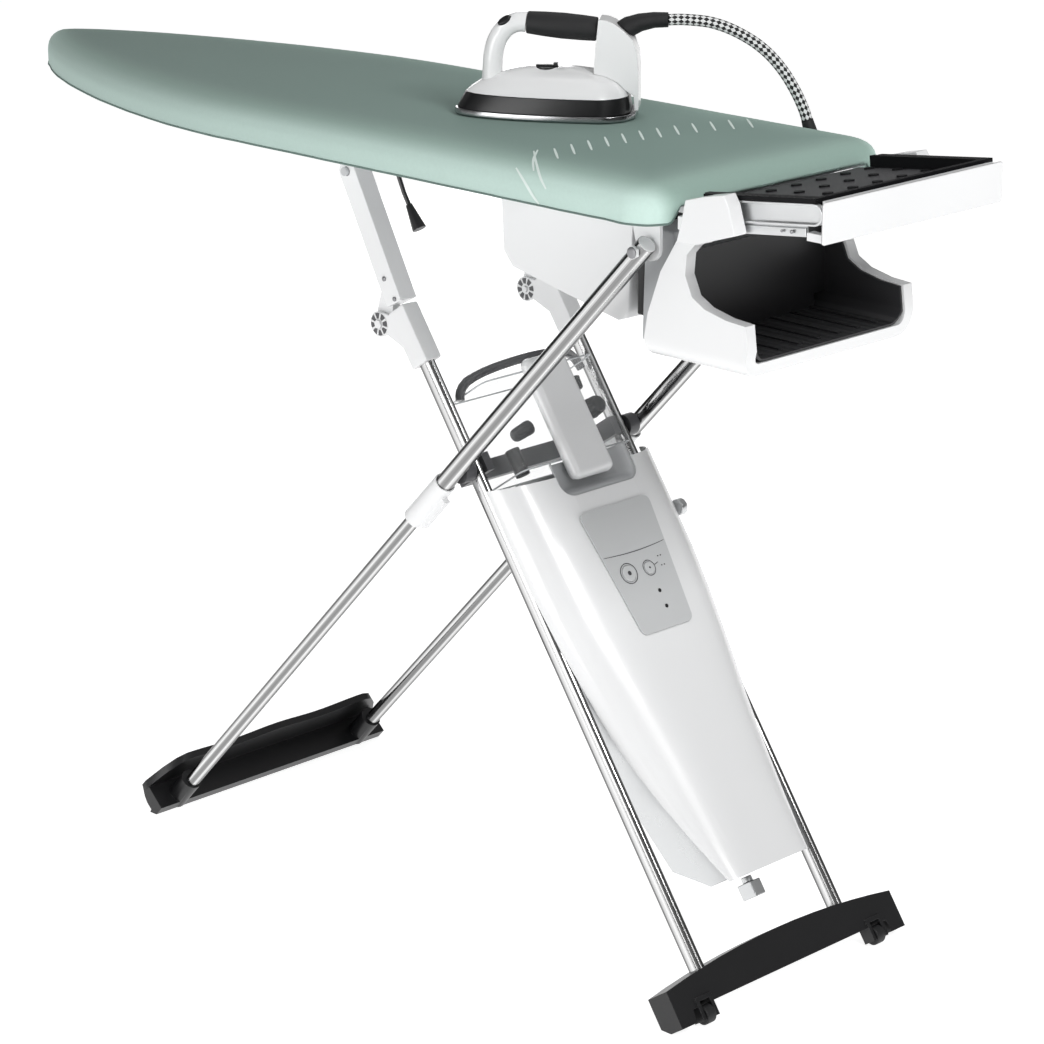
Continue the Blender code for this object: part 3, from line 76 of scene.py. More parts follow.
HOSE_ROUTE = [
    (0.3130, 0.1090, 1.1400), (0.3225, 0.1175, 1.1405), (0.3330, 0.1270, 1.1400), (0.3480, 0.1405, 1.1380),
    (0.3600, 0.1510, 1.1340), (0.3715, 0.1615, 1.1280), (0.3830, 0.1720, 1.1200), (0.3935, 0.1815, 1.1110),
    (0.4030, 0.1900, 1.1005), (0.4110, 0.1970, 1.0895), (0.4190, 0.2045, 1.0755), (0.4260, 0.2105, 1.0610),
    (0.4320, 0.2160, 1.0460), (0.4370, 0.2205, 1.0310), (0.4400, 0.2230, 1.0195)]

LEG_B = Matrix.Translation(KNUCKLE) @ Matrix.Rotation(LEG_B_TURN, 4, "Y")
TRAY = Matrix.Translation(TRAY_PLACE) @ Matrix.Rotation(TRAY_TURN, 4, "Y")
LEG_OUT = (LEG_B.to_3x3() @ Vector((1, 0, 0))).normalized()
TUBES_X = 0.0374                     # the rear tubes' plane, in front of the knuckle
# Each button's place on the panel: across it, and down the leg
BUTTON_PLACES = {"button_power": (-0.026, 0.414), "button_mode": (0.010, 0.415)}


# Camera, floor and light

def make_camera():
    camera = bpy.data.objects.new("camera", bpy.data.cameras.new("camera"))
    camera.location = CAMERA_PLACE
    camera.rotation_euler = (math.radians(72.306), 0.0, math.radians(44.837))
    camera.data.lens = 117.23
    camera.data.sensor_width = 36.0
    camera.data.clip_end = 60.0
    COLLECTION.objects.link(camera)
    bpy.context.scene.camera = camera


def area_light(name, place, target, size, power):
    light = bpy.data.lights.new(name, "AREA")
    light.shape = "RECTANGLE"
    light.size, light.size_y = size
    light.energy = power
    lamp = bpy.data.objects.new(name, light)
    lamp.location = place
    lamp.rotation_euler = (Vector(target) - Vector(place)).to_track_quat("-Z", "Y").to_euler()
    COLLECTION.objects.link(lamp)


def make_stage():
    far = 40.0
    corners = [(-far, -far, 0), (far, -far, 0), (far, far, 0), (-far, far, 0)]
    floor = bpy.data.objects.new("floor", new_mesh("floor", corners, [(0, 1, 2, 3)]))
    COLLECTION.objects.link(floor)
    floor.data.materials.append(floor_material())


def floor_material():
    made, _, _, shader = new_material("floor", (0.50, 0.50, 0.50), 0.7)
    shader.inputs["Specular IOR Level"].default_value = 0.1
    shader.inputs["Emission Color"].default_value = (1, 1, 1, 1)
    shader.inputs["Emission Strength"].default_value = 0.90
    return made


def make_light():
    """A pale studio with upright dark screens, which the chrome reflects, and four lamps."""
    world = bpy.data.worlds.new("studio")
    bpy.context.scene.world = world
    world.use_nodes = True
    nodes, links = world.node_tree.nodes, world.node_tree.links
    background = nodes["Background"]
    background.inputs["Strength"].default_value = 0.42
    split = nodes.new("ShaderNodeSeparateXYZ")
    links.new(nodes.new("ShaderNodeTexCoord").outputs["Generated"], split.inputs["Vector"])
    up = range_node(nodes, links, split.outputs["Z"], -1.0, 1.0)
    layers = ramp_node(nodes, links, up, [(0.50, 0.55), (0.505, 0.10), (0.56, 0.10), (0.64, 1.0),
                                          (0.80, 0.75), (1.0, 0.9)])
    heading = math_node(nodes, links, "ARCTAN2", split.outputs["Y"], split.outputs["X"])
    turn = range_node(nodes, links, heading, -math.pi, math.pi)
    screens = ((0.10, 0.030), (0.27, 0.022), (0.42, 0.028), (0.60, 0.030), (0.78, 0.030), (0.91, 0.025))
    stops = [(0.0, 1.0)]
    for middle, half in screens:
        start, end = middle - half, middle + half
        stops += [(start - 0.01, 1.0), (start, 0.05), (end, 0.05), (end + 0.01, 1.0)]
    shade = multiply_node(nodes, links, layers, ramp_node(nodes, links, turn, stops), 0.9)
    links.new(shade, background.inputs["Color"])
    area_light("key", (0.4, -4.3, 1.3), (0.0, 0.0, 0.8), (2.6, 1.6), 62)
    area_light("fill", (3.2, -0.5, 3.2), (0.3, 0.0, 0.7), (1.2, 1.4), 74)
    area_light("top", (-0.4, 0.9, 3.6), (0.0, 0.0, 0.5), (2.4, 2.4), 16)
    area_light("back", (-3.2, 2.6, 1.2), (0.0, 0.0, 0.7), (1.4, 2.0), 24)
    bpy.context.scene.view_settings.view_transform = "Standard"


# Materials

def new_material(name, colour, roughness, metallic=0.0, coat=0.0, alpha=1.0):
    made = bpy.data.materials.new(name)
    made.use_nodes = True
    nodes, links = made.node_tree.nodes, made.node_tree.links
    shader = nodes["Principled BSDF"]
    shader.inputs["Base Color"].default_value = (*colour, 1)
    shader.inputs["Roughness"].default_value = roughness
    shader.inputs["Metallic"].default_value = metallic
    shader.inputs["Coat Weight"].default_value = coat
    shader.inputs["Coat Roughness"].default_value = 0.08
    shader.inputs["Alpha"].default_value = alpha
    made.diffuse_color = (*colour, alpha)
    return made, nodes, links, shader


def coordinates(nodes, kind):
    return nodes.new("ShaderNodeTexCoord").outputs[kind]


def noise_node(nodes, links, scale, detail=3.0, stretch=(1, 1, 1)):
    mapping = nodes.new("ShaderNodeMapping")
    mapping.inputs["Scale"].default_value = stretch
    grain = nodes.new("ShaderNodeTexNoise")
    grain.inputs["Scale"].default_value = scale
    grain.inputs["Detail"].default_value = detail
    links.new(coordinates(nodes, "Object"), mapping.inputs["Vector"])
    links.new(mapping.outputs["Vector"], grain.inputs["Vector"])
    return grain.outputs["Fac"]


def math_node(nodes, links, operation, first, second, clamp=False):
    node = nodes.new("ShaderNodeMath")
    node.operation = operation
    node.use_clamp = clamp
    links.new(first, node.inputs[0])
    links.new(second, node.inputs[1])
    return node.outputs["Value"]


def range_node(nodes, links, value, low, high, to_low=0.0, to_high=1.0):
    node = nodes.new("ShaderNodeMapRange")
    node.inputs["From Min"].default_value = low
    node.inputs["From Max"].default_value = high
    node.inputs["To Min"].default_value = to_low
    node.inputs["To Max"].default_value = to_high
    links.new(value, node.inputs["Value"])
    return node.outputs["Result"]


def multiply_node(nodes, links, first, second, factor):
    node = nodes.new("ShaderNodeMix")
    node.data_type = "RGBA"
    node.blend_type = "MULTIPLY"
    node.inputs["Factor"].default_value = factor
    links.new(first, node.inputs["A"])
    links.new(second, node.inputs["B"])
    return node.outputs["Result"]


def wave_node(nodes, links, vector, direction, scale, distortion=0.0):
    node = nodes.new("ShaderNodeTexWave")
    node.bands_direction = direction
    node.inputs["Scale"].default_value = scale
    node.inputs["Distortion"].default_value = distortion
    links.new(vector, node.inputs["Vector"])
    return node.outputs["Fac"]


def dot_node(nodes, links, vector, direction):
    node = nodes.new("ShaderNodeVectorMath")
    node.operation = "DOT_PRODUCT"
    node.inputs[1].default_value = direction
    links.new(vector, node.inputs[0])
    return node.outputs["Value"]


def ramp_node(nodes, links, source, stops):
    """stops are (position, colour) pairs; a number stands for a grey."""
    ramp = nodes.new("ShaderNodeValToRGB")
    while len(ramp.color_ramp.elements) < len(stops):
        ramp.color_ramp.elements.new(0.5)
    for element, (at, colour) in zip(ramp.color_ramp.elements, stops):
        element.position = at
        element.color = (colour, colour, colour, 1) if isinstance(colour, float) else (*colour, 1)
    links.new(source, ramp.inputs["Fac"])
    return ramp.outputs["Color"]


def add_bump(nodes, links, shader, height, strength, distance):
    bump = nodes.new("ShaderNodeBump")
    bump.inputs["Strength"].default_value = strength
    bump.inputs["Distance"].default_value = distance
    links.new(height, bump.inputs["Height"])
    links.new(bump.outputs["Normal"], shader.inputs["Normal"])


def plastic(name, colour, roughness, coat=0.0, spread=0.02, grain=900.0, strength=0.12):
    """Moulded plastic: a fine spark texture, with faint cloudy changes of tone and gloss."""
    made, nodes, links, shader = new_material(name, colour, roughness, 0.0, coat)
    clouds = noise_node(nodes, links, 7.0, 1.0)
    light = tuple(min(1.0, c * (1 + spread) + 0.002) for c in colour)
    dark = tuple(c * (1 - spread) for c in colour)
    links.new(ramp_node(nodes, links, clouds, [(0.0, dark), (1.0, light)]), shader.inputs["Base Color"])
    duller = min(1.0, roughness * 1.12)
    gloss = ramp_node(nodes, links, clouds, [(0.0, roughness * 0.88), (1.0, duller)])
    links.new(gloss, shader.inputs["Roughness"])
    add_bump(nodes, links, shader, noise_node(nodes, links, grain, 2.0), strength, 0.0002)
    return made


def metal(name, colour, roughness, brush=(1, 1, 1), strength=0.05):
    """Drawn or brushed metal: streaks along one direction, and patches of slightly duller finish."""
    made, nodes, links, shader = new_material(name, colour, roughness, 1.0)
    patches = noise_node(nodes, links, 14.0, 5.0)
    dull = ramp_node(nodes, links, patches, [(0.35, roughness * 0.8), (0.7, min(1.0, roughness * 1.5))])
    links.new(dull, shader.inputs["Roughness"])
    tone = [(0.2, tuple(c * 0.93 for c in colour)), (0.8, tuple(min(1.0, c * 1.05) for c in colour))]
    links.new(ramp_node(nodes, links, patches, tone), shader.inputs["Base Color"])
    add_bump(nodes, links, shader, noise_node(nodes, links, 220.0, 2.0, brush), strength, 0.0002)
    return made


# Painted reflection for the tubes: dark and light bands of colour round a tube
PAINTED_REFLECTION_BANDS = [(0.0, 0.03), (0.06, 0.10), (0.12, 0.55), (0.22, 0.80), (0.34, 0.30), (0.50, 0.24),
         (0.60, 0.34), (0.68, 0.80), (0.80, 0.62), (0.87, 0.16), (0.94, 0.10), (1.0, 0.03)]


def tube_metal(name, axis):
    """Bright tube with a painted reflection: the long dark and light streaks of its surroundings are
    painted into its colour by the way its surface faces.
    """
    made, nodes, links, shader = new_material(name, (0.6, 0.6, 0.61), 0.16, 1.0)
    # painted reflection: the colour follows which way the surface faces across the tube
    across = axis.cross(Vector((0.72, -0.68, 0.12))).normalized()
    facing = dot_node(nodes, links, coordinates(nodes, "Normal"), across)
    share = range_node(nodes, links, facing, -1.0, 1.0)
    links.new(ramp_node(nodes, links, share, PAINTED_REFLECTION_BANDS), shader.inputs["Base Color"])
    patches = noise_node(nodes, links, 14.0, 3.0)
    links.new(ramp_node(nodes, links, patches, [(0.2, 0.12), (0.8, 0.22)]), shader.inputs["Roughness"])
    add_bump(nodes, links, shader, noise_node(nodes, links, 700.0, 2.0), 0.03, 0.0002)
    return made


def cover_material():
    """Woven cotton, with painted shade that darkens the top and painted light that makes the sides paler;
    the colour is also paler towards the tail.
    """
    made, nodes, links, shader = new_material("cover_cloth", (0.2, 0.3, 0.26), 0.88)
    shader.inputs["Sheen Weight"].default_value = 0.25
    shader.inputs["Sheen Roughness"].default_value = 0.5
    shader.inputs["Sheen Tint"].default_value = (0.80, 0.95, 0.90, 1)
    painted_light = nodes.new("ShaderNodeAttribute")
    painted_light.attribute_name = "painted_light"
    # painted shade on the top and painted light down the sides, by the share stored on each point
    side, edge, top = (0.42, 0.545, 0.500), (0.25, 0.355, 0.312), (0.138, 0.212, 0.186)
    tones = [(0.0, top), (0.45, edge), (0.85, side), (1.0, side)]
    shade = ramp_node(nodes, links, painted_light.outputs["Fac"], tones)
    place = coordinates(nodes, "Object")
    split = nodes.new("ShaderNodeSeparateXYZ")
    links.new(place, split.inputs["Vector"])
    # the colour is scaled paler from the nose to the tail
    paler = range_node(nodes, links, split.outputs["X"], BOARD_NOSE_X, BOARD_TAIL_X, 0.80, 1.30)
    shade_paler_to_tail = nodes.new("ShaderNodeVectorMath")
    shade_paler_to_tail.operation = "SCALE"
    links.new(shade, shade_paler_to_tail.inputs[0])
    links.new(paler, shade_paler_to_tail.inputs["Scale"])
    slub = noise_node(nodes, links, 260.0, 3.0)
    mottle = ramp_node(nodes, links, slub, [(0.3, 0.80), (0.7, 1.0)])
    colour = multiply_node(nodes, links, shade_paler_to_tail.outputs["Vector"], mottle, 0.16)
    links.new(colour, shader.inputs["Base Color"])
    weave = [wave_node(nodes, links, place, direction, 420.0, 0.6) for direction in ("X", "Y")]
    threads = math_node(nodes, links, "MULTIPLY", *weave)
    height = math_node(nodes, links, "ADD", threads, slub)
    add_bump(nodes, links, shader, height, 0.22, 0.0003)
    return made


def braid_material():
    """Black and white yarns crossing on the slant, laid out by the hose's own coordinates."""
    made, nodes, links, shader = new_material("hose_braid", (0.4, 0.4, 0.4), 0.78)
    shader.inputs["Sheen Weight"].default_value = 0.2
    place = coordinates(nodes, "UV")
    checks = nodes.new("ShaderNodeTexChecker")
    checks.inputs["Scale"].default_value = 1.0
    checks.inputs["Color1"].default_value = (0.86, 0.87, 0.87, 1)
    checks.inputs["Color2"].default_value = (0.012, 0.012, 0.013, 1)
    links.new(place, checks.inputs["Vector"])
    yarn = wave_node(nodes, links, place, "X", 1.6, 1.0)
    strands = multiply_node(nodes, links, checks.outputs["Color"], yarn, 0.15)
    links.new(strands, shader.inputs["Base Color"])
    add_bump(nodes, links, shader, yarn, 0.35, 0.0005)
    return made


def pad_material():
    """Dark grey rubber floor under blacker bumps and rims."""
    made, nodes, links, shader = new_material("pad_rubber", (0.03, 0.03, 0.032), 0.6)
    shader.inputs["Specular IOR Level"].default_value = 0.15
    normal = (TRAY.to_3x3() @ Vector((0, 0, 1))).normalized()
    start = TRAY_PLACE.dot(normal)
    above = dot_node(nodes, links, coordinates(nodes, "Object"), normal)
    share = range_node(nodes, links, above, start + 0.0028, start + 0.0048)
    tone = [(0.0, (0.085, 0.085, 0.088)), (0.4, (0.060, 0.060, 0.063)), (0.8, (0.004, 0.004, 0.005))]
    links.new(ramp_node(nodes, links, share, tone), shader.inputs["Base Color"])
    add_bump(nodes, links, shader, noise_node(nodes, links, 1500.0, 2.0), 0.3, 0.0002)
    return made


def tank_material():
    """Clear moulded plastic with a faint cloudy bloom."""
    made, nodes, links, shader = new_material("clear_wall", (0.93, 0.95, 0.96), 0.06, 0.0, 0.0, 0.24)
    bloom = noise_node(nodes, links, 12.0, 1.0)
    links.new(ramp_node(nodes, links, bloom, [(0.0, 0.04), (1.0, 0.09)]), shader.inputs["Alpha"])
    links.new(ramp_node(nodes, links, bloom, [(0.3, 0.04), (0.8, 0.12)]), shader.inputs["Roughness"])
    return made


def ribbed_material():
    """Black lining with shallow ribs along the floor, painted a little lighter on the ribs' crests and
    darker between them as painted light and shade.
    """
    made, nodes, links, shader = new_material("bin_lining", (0.022, 0.022, 0.024), 0.42)
    ribs = wave_node(nodes, links, coordinates(nodes, "Object"), "Y", 22.0)
    level = nodes.new("ShaderNodeSeparateXYZ")
    links.new(coordinates(nodes, "Normal"), level.inputs["Vector"])
    floor_only = math_node(nodes, links, "MULTIPLY", ribs, level.outputs["Z"], clamp=True)
    # painted highlight on the rib crests and painted shade between them
    stops = [(0.4, (0.020, 0.020, 0.022)), (0.6, (0.036, 0.036, 0.038))]
    links.new(ramp_node(nodes, links, floor_only, stops), shader.inputs["Base Color"])
    add_bump(nodes, links, shader, floor_only, 0.5, 0.001)
    return made


# Mesh helpers

def add_piece(name, mesh, made, body, smooth=True):
    """A new object that moves with a body, or a loose one if body is None."""
    mesh.materials.append(made)
    for face in mesh.polygons:
        face.use_smooth = smooth
    piece = bpy.data.objects.new(name, mesh)
    COLLECTION.objects.link(piece)
    if body:
        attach(piece, body)
    return piece


def new_mesh(name, verts, faces):
    mesh = bpy.data.meshes.new(name)
    mesh.from_pydata(verts, [], faces)
    return mesh


def loft(name, rings):
    """A closed mesh through rings of equally many points."""
    sides = len(rings[0])
    faces = []
    for i in range(len(rings) - 1):
        for k in range(sides):
            n = (k + 1) % sides
            faces.append((i * sides + k, i * sides + n, (i + 1) * sides + n, (i + 1) * sides + k))
    faces.append(tuple(reversed(range(sides))))
    faces.append(tuple(range((len(rings) - 1) * sides, len(rings) * sides)))
    return new_mesh(name, [point for ring in rings for point in ring], faces)


def ring_points(centre, axis, side, radius, sides):
    """A ring round an axis. It starts towards side, which is square to the axis."""
    up = axis.cross(side)
    turns = [2 * math.pi * k / sides for k in range(sides)]
    return [centre + radius * (math.cos(a) * side + math.sin(a) * up) for a in turns]


def round_rectangle(low, high, corner, steps):
    """Counter-clockwise points of a rectangle with round corners."""
    centres = ((high[0] - corner, high[1] - corner), (low[0] + corner, high[1] - corner),
               (low[0] + corner, low[1] + corner), (high[0] - corner, low[1] + corner))
    points = []
    for quarter, (x, y) in enumerate(centres):
        for k in range(steps + 1):
            a = math.radians(90 * (quarter + k / steps))
            points.append((x + corner * math.cos(a), y + corner * math.sin(a)))
    return points


def tube_mesh(name, path, radius, sides):
    """A tube along the points, whose rings turn as little as they can."""
    points = [Vector(p) for p in path]
    rings, side = [], None
    for i, point in enumerate(points):
        ahead = (points[min(i + 1, len(points) - 1)] - points[max(i - 1, 0)]).normalized()
        if side is None:
            side = ahead.orthogonal().normalized()
        side = (side - ahead * side.dot(ahead)).normalized()
        rings.append(ring_points(point, ahead, side, radius, sides))
    return loft(name, rings)


def lay_braid(mesh, path, sides):
    """Slanting coordinates on a tube, so that checks on them are the diamonds of a braid."""
    along = [0.0]
    for a, b in zip(path, path[1:]):
        along.append(along[-1] + (b - a).length)
    layer = mesh.uv_layers.new(name="UVMap", do_init=False)
    for i in range(len(path) - 1):
        for k in range(sides):
            corners = ((k, along[i]), (k + 1, along[i]), (k + 1, along[i + 1]), (k, along[i + 1]))
            for loop, (turn, distance) in zip(mesh.polygons[i * sides + k].loop_indices, corners):
                u = BRAID_STRANDS * turn / sides
                v = distance / BRAID_CELL
                layer.data[loop].uv = (u + v, u - v)


def smooth_path(points, steps):
    """Catmull-Rom points through the given ones."""
    given = [Vector(p) for p in points]
    ends = [given[0] * 2 - given[1]] + given + [given[-1] * 2 - given[-2]]
    path = []
    for a, b, c, d in zip(ends, ends[1:], ends[2:], ends[3:]):
        for k in range(steps):
            t = k / steps
            path.append(0.5 * (2 * b + (c - a) * t + (2 * a - 5 * b + 4 * c - d) * t * t
                               + (3 * b - a - 3 * c + d) * t ** 3))
    return path + [given[-1]]


def disc_mesh(name, centre, axis, radius, thickness, sides=24):
    """A screw head or lamp: a short cylinder with a domed top, standing out along its axis."""
    axis = Vector(axis).normalized()
    side = axis.orthogonal().normalized()
    rings = []
    for share, rise in ((1.0, 0.0), (1.0, 0.7), (0.82, 1.0), (0.35, 1.05)):
        middle = Vector(centre) + axis * thickness * rise
        rings.append(ring_points(middle, axis, side, radius * share, sides))
    return loft(name, rings)


def joined(name, meshes):
    """One mesh from several."""
    verts, faces = [], []
    for mesh in meshes:
        start = len(verts)
        verts += [v.co.copy() for v in mesh.vertices]
        faces += [tuple(start + i for i in face.vertices) for face in mesh.polygons]
        bpy.data.meshes.remove(mesh)
    return new_mesh(name, verts, faces)


# The cover

def smoothstep(low, high, x):
    t = min(1.0, max(0.0, (x - low) / (high - low)))
    return t * t * (3 - 2 * t)


def board_half_width(distance):
    if distance >= NOSE_LENGTH:
        return BOARD_HALF_WIDTH
    return BOARD_HALF_WIDTH * (1.0 - (1.0 - distance / NOSE_LENGTH) ** 1.6) ** 0.741


def cover_stations():
    """Points round the board, counter-clockwise from the nose: (kind, value, side)."""
    steps = [0.555 * (k / 19) ** 2 for k in range(20)]
    steps += [0.60 + 0.0235 * k for k in range(30)]
    near = [("side", d, -1) for d in steps]
    near += [("corner", math.radians(-90 + 5 * k), -1) for k in range(19)]
    tail = [("tail", -1 + 2 * (k + 1) / 26, 0) for k in range(25)]
    far = [(kind, value, 1) for kind, value, _ in reversed(near[1:])]
    return near + tail + far


def cover_point(station, inset):
    kind, value, side = station
    r = max(TAIL_CORNER_R - inset, 0.004)
    extra = max(0.0, inset - TAIL_CORNER_R + 0.004)
    centre_x = BOARD_TAIL_X - TAIL_CORNER_R - extra
    centre_y = BOARD_HALF_WIDTH - TAIL_CORNER_R - extra
    if kind == "side":
        straight = BOARD_TAIL_X - TAIL_CORNER_R - BOARD_NOSE_X
        x = BOARD_NOSE_X + inset + value * (centre_x - BOARD_NOSE_X - inset) / straight
        return x, side * board_half_width(value) * (1.0 - inset / BOARD_HALF_WIDTH)
    if kind == "corner":
        return centre_x + r * math.cos(value), side * (centre_y - r * math.sin(value))
    return centre_x + r, value * centre_y


def hem_height(x, y):
    """The hem is cut higher across the tail, over the rails."""
    behind = smoothstep(0.545, 0.572, x)
    across = 1.0 - smoothstep(TAIL_HEM_HALF_WIDTH + 0.002, TAIL_HEM_HALF_WIDTH + 0.022, abs(y))
    return BOARD_HEM_Z + 0.0008 + (TAIL_HEM_Z + 0.0006 - BOARD_HEM_Z - 0.0008) * behind * across


def pucker(x, y, travelled):
    """How strongly the elastic gathers the hem here."""
    corner = smoothstep(0.40, 0.55, x)
    nose = 1.0 - smoothstep(-0.77, -0.45, x)
    strength = 0.25 + 0.75 * max(corner, nose * 0.8)
    wave = math.sin(travelled / 0.0165 + 1.5 * noise.noise(Vector((x * 9, y * 9, 0.3))))
    wave += 0.6 * math.sin(travelled / 0.0071 + 3.0 * noise.noise(Vector((x * 14, y * 14, 2.1))))
    return strength * wave


# Rings of the cover's top: drop, distance in from the board's edge, and share of painted light, from the
# painted shade of the middle towards the paler side
COVER_TOP = [(0.0, 0.165, 0.0), (0.0, 0.140, 0.0), (0.0, 0.110, 0.0), (0.0, 0.080, 0.02),
             (0.0, 0.060, 0.10), (0.0002, 0.045, 0.20), (0.0008, 0.035, 0.31), (0.0025, 0.0245, 0.45),
             (0.0050, 0.0165, 0.58), (0.0080, 0.0105, 0.69), (0.0115, 0.0060, 0.79),
             (0.0160, 0.0027, 0.88), (0.0210, 0.0010, 0.93), (0.0250, 0.0003, 0.96)]


def edge_places(stations):
    """Each station's point on the board's edge, with the length walked to it."""
    places, travelled = [], 0.0
    for station in stations:
        x, y = cover_point(station, 0.0)
        if places:
            travelled += math.hypot(x - places[-1][0], y - places[-1][1])
        places.append((x, y, travelled))
    return places


def top_height(x, y, drop, inset):
    """Height of the padded top: level under the iron and in the middle, a little uneven round them."""
    away = smoothstep(0.17, 0.24, math.hypot(x - IRON_PLACE.x, y - IRON_PLACE.y))
    wave = noise.noise(Vector((x * 5.0, y * 7.0, 1.7)))
    wave += 0.5 * noise.noise(Vector((x * 13, y * 16, 5.0)))
    lift = smoothstep(0.0, 0.02, inset) * (1.0 - smoothstep(0.07, 0.13, inset))
    sunk = 1.0 - smoothstep(0.08, 0.135, inset)
    return BOARD_TOP_Z - drop - away * (0.0006 * sunk + 0.0005 * lift * max(-1.2, min(1.2, wave)))


def side_height(hem, share):
    """Height down the side, by its share of the way from the top's edge to the hem."""
    top = BOARD_TOP_Z - COVER_TOP[-1][0]
    if hem < top - 0.004:
        return top + (hem + 0.0012 - top) * share
    return max(hem + 0.0012, top - 0.002 * share)


def cover_rows(stations, places):
    """Rings from the middle of the top, over the side and round the hem, to the inside."""
    rows = []
    for drop, inset, _ in COVER_TOP:
        points = [cover_point(station, inset) for station in stations]
        rows.append([(x, y, top_height(x, y, drop, inset)) for x, y in points])
    gathers = [pucker(*place) for place in places]
    hems = [hem_height(x, y) for x, y, _ in places]
    for share in (0.25, 0.5, 0.75, 0.9, 1.0):
        inset = 0.0004 + 0.0010 * share
        points = [cover_point(station, inset - 0.0013 * share * wave)
                  for station, wave in zip(stations, gathers)]
        rows.append([(x, y, side_height(hem, share)) for (x, y), hem in zip(points, hems)])
    for rise, inset, depth in ((0.0, 0.0022, 0.0012), (0.0, 0.0042, 0.0012), (0.0012, 0.0056, 0.0)):
        points = [cover_point(station, inset - depth * wave) for station, wave in zip(stations, gathers)]
        rows.append([(x, y, hem + rise) for (x, y), hem in zip(points, hems)])
    for z, inset in ((PANEL_TOP_Z - 0.0077, 0.0060), (PANEL_TOP_Z + 0.0003, 0.0180)):
        rows.append([(*cover_point(station, inset), z) for station in stations])
    return rows


def cover_faces(row_count, count):
    """Quads between the rings, and strips from side to side that close the first and the last."""
    faces = []
    for i in range(row_count - 1):
        for k in range(count):
            n = (k + 1) % count
            faces.append((i * count + n, i * count + k, (i + 1) * count + k, (i + 1) * count + n))
    pairs = count // 2 - 30             # past these, the rounded tail is one face
    for start, order in ((0, 1), ((row_count - 1) * count, -1)):
        strips = [(start, start + 1, start + count - 1)]
        for k in range(1, pairs - 1):
            strips.append((start + k, start + k + 1, start + count - k - 1, start + count - k))
        strips.append(tuple(range(start + pairs - 1, start + count - pairs + 2)))
        faces += [strip[::order] for strip in strips]
    return faces


def paint_light_and_shade(mesh, rows):
    """Stores on each point its share of painted light: 0 in the painted shade of the middle of the top, 1
    down the side.
    """
    painted_lights = [painted_light for _, _, painted_light in COVER_TOP] + [1.0] * (len(rows) - len(COVER_TOP))
    values = []
    for painted_light, row in zip(painted_lights, rows):
        for x, y, _ in row:
            # painted shade: the tail face is painted darker
            tail = smoothstep(0.555, 0.582, x) * (1.0 - smoothstep(0.17, 0.205, abs(y)))
            values.append(painted_light * (1.0 - 0.45 * tail))
    mesh.attributes.new("painted_light", "FLOAT", "POINT").data.foreach_set("value", values)


def make_cover():
    """Padded cover with the cord of its hem and its print."""
    stations = cover_stations()
    places = edge_places(stations)
    rows = cover_rows(stations, places)
    verts = [point for row in rows for point in row]
    mesh = new_mesh("cover", verts, cover_faces(len(rows), len(stations)))
    paint_light_and_shade(mesh, rows)
    cover = add_piece("cover", mesh, cover_material(), "board")
    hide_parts("board_cover")
    path = []
    for station, (x0, y0, along) in zip(stations, places):
        x, y = cover_point(station, 0.0016 - 0.0012 * pucker(x0, y0, along))
        path.append((x, y, hem_height(x0, y0) + 0.0016))
    path += path[:1]
    piping = tube_mesh("cover_piping", path, 0.0014, 8)
    piece = add_piece("cover_piping", piping, MADE["piping"], "board")
    make_print(mesh)


DASH_COUNT = 12
DASH_REACH = Vector((0.0495, -0.0435, 0.0))
STROKES = [[(0.273, -0.084), (0.329, -0.136), (0.388, -0.189), (0.435, -0.228)],
           [(0.328, -0.169), (0.391, -0.218), (0.451, -0.265), (0.485, -0.290)],
           [(0.272, -0.076), (0.310, -0.122), (0.355, -0.167)]]


def tree_of(mesh):
    faces = [tuple(face.vertices) for face in mesh.polygons]
    return BVHTree.FromPolygons([v.co for v in mesh.vertices], faces)


def laid_strip(tree, line, half_width, ray, lift=0.0003):
    """A thin strip along the points, laid on the surface that ray(point) meets, or None past its edge.
    The ends of an open line narrow."""
    verts, faces = [], []
    last = len(line) - 1
    for k, point in enumerate(line):
        ahead = (line[min(k + 1, last)] - line[max(k - 1, 0)]).normalized()
        start, direction = ray(point)
        across = direction.cross(ahead).normalized()
        ring = (line[0] - line[-1]).length < 1e-6
        taper = 1.0 if ring else math.sin(math.pi * (0.10 + 0.80 * k / last)) ** 0.5
        for sign in (-1, 1):
            origin = start + across * half_width * taper * sign
            hit = tree.ray_cast(origin, direction)
            if hit[0] is None:
                return None
            verts.append(hit[0] + hit[1] * (lift if hit[1].dot(direction) < 0 else -lift))
    for k in range(last):
        faces.append((2 * k, 2 * k + 1, 2 * k + 3, 2 * k + 2))
    return new_mesh("strip", verts, faces)


def laid_piece(name, strips, made, body):
    return add_piece(name, joined(name, [strip for strip in strips if strip]), made, body)


def dash_start(k):
    """Where a dash of the print begins: the row bends a little across the board."""
    return Vector((0.346 - 0.0035 * k + 0.00064 * k ** 2, -0.124 + 0.0315 * k - 0.0004 * k ** 2, 1.1))


def make_print(cover):
    """Pale dashes across the cover, and strokes that run over its edge."""
    tree = tree_of(cover)
    strips = []
    for k in range(DASH_COUNT):
        line = [dash_start(k) + DASH_REACH * (0.04 + 0.88 * i / 12) for i in range(13)]
        strips.append(laid_strip(tree, line, 0.0016, lambda p: (p, Vector((0, 0, -1)))))
    for stroke in STROKES:
        points = smooth_path([(x, y, 1.0) for x, y in stroke], 8)
        line = [p.lerp(CAMERA_PLACE, 0.05) for p in points]
        strips.append(laid_strip(tree, line, 0.0015, lambda p: (p, (p - CAMERA_PLACE).normalized())))
    laid_piece("cover_print", strips, MADE["print"], "board")


# The steam hose

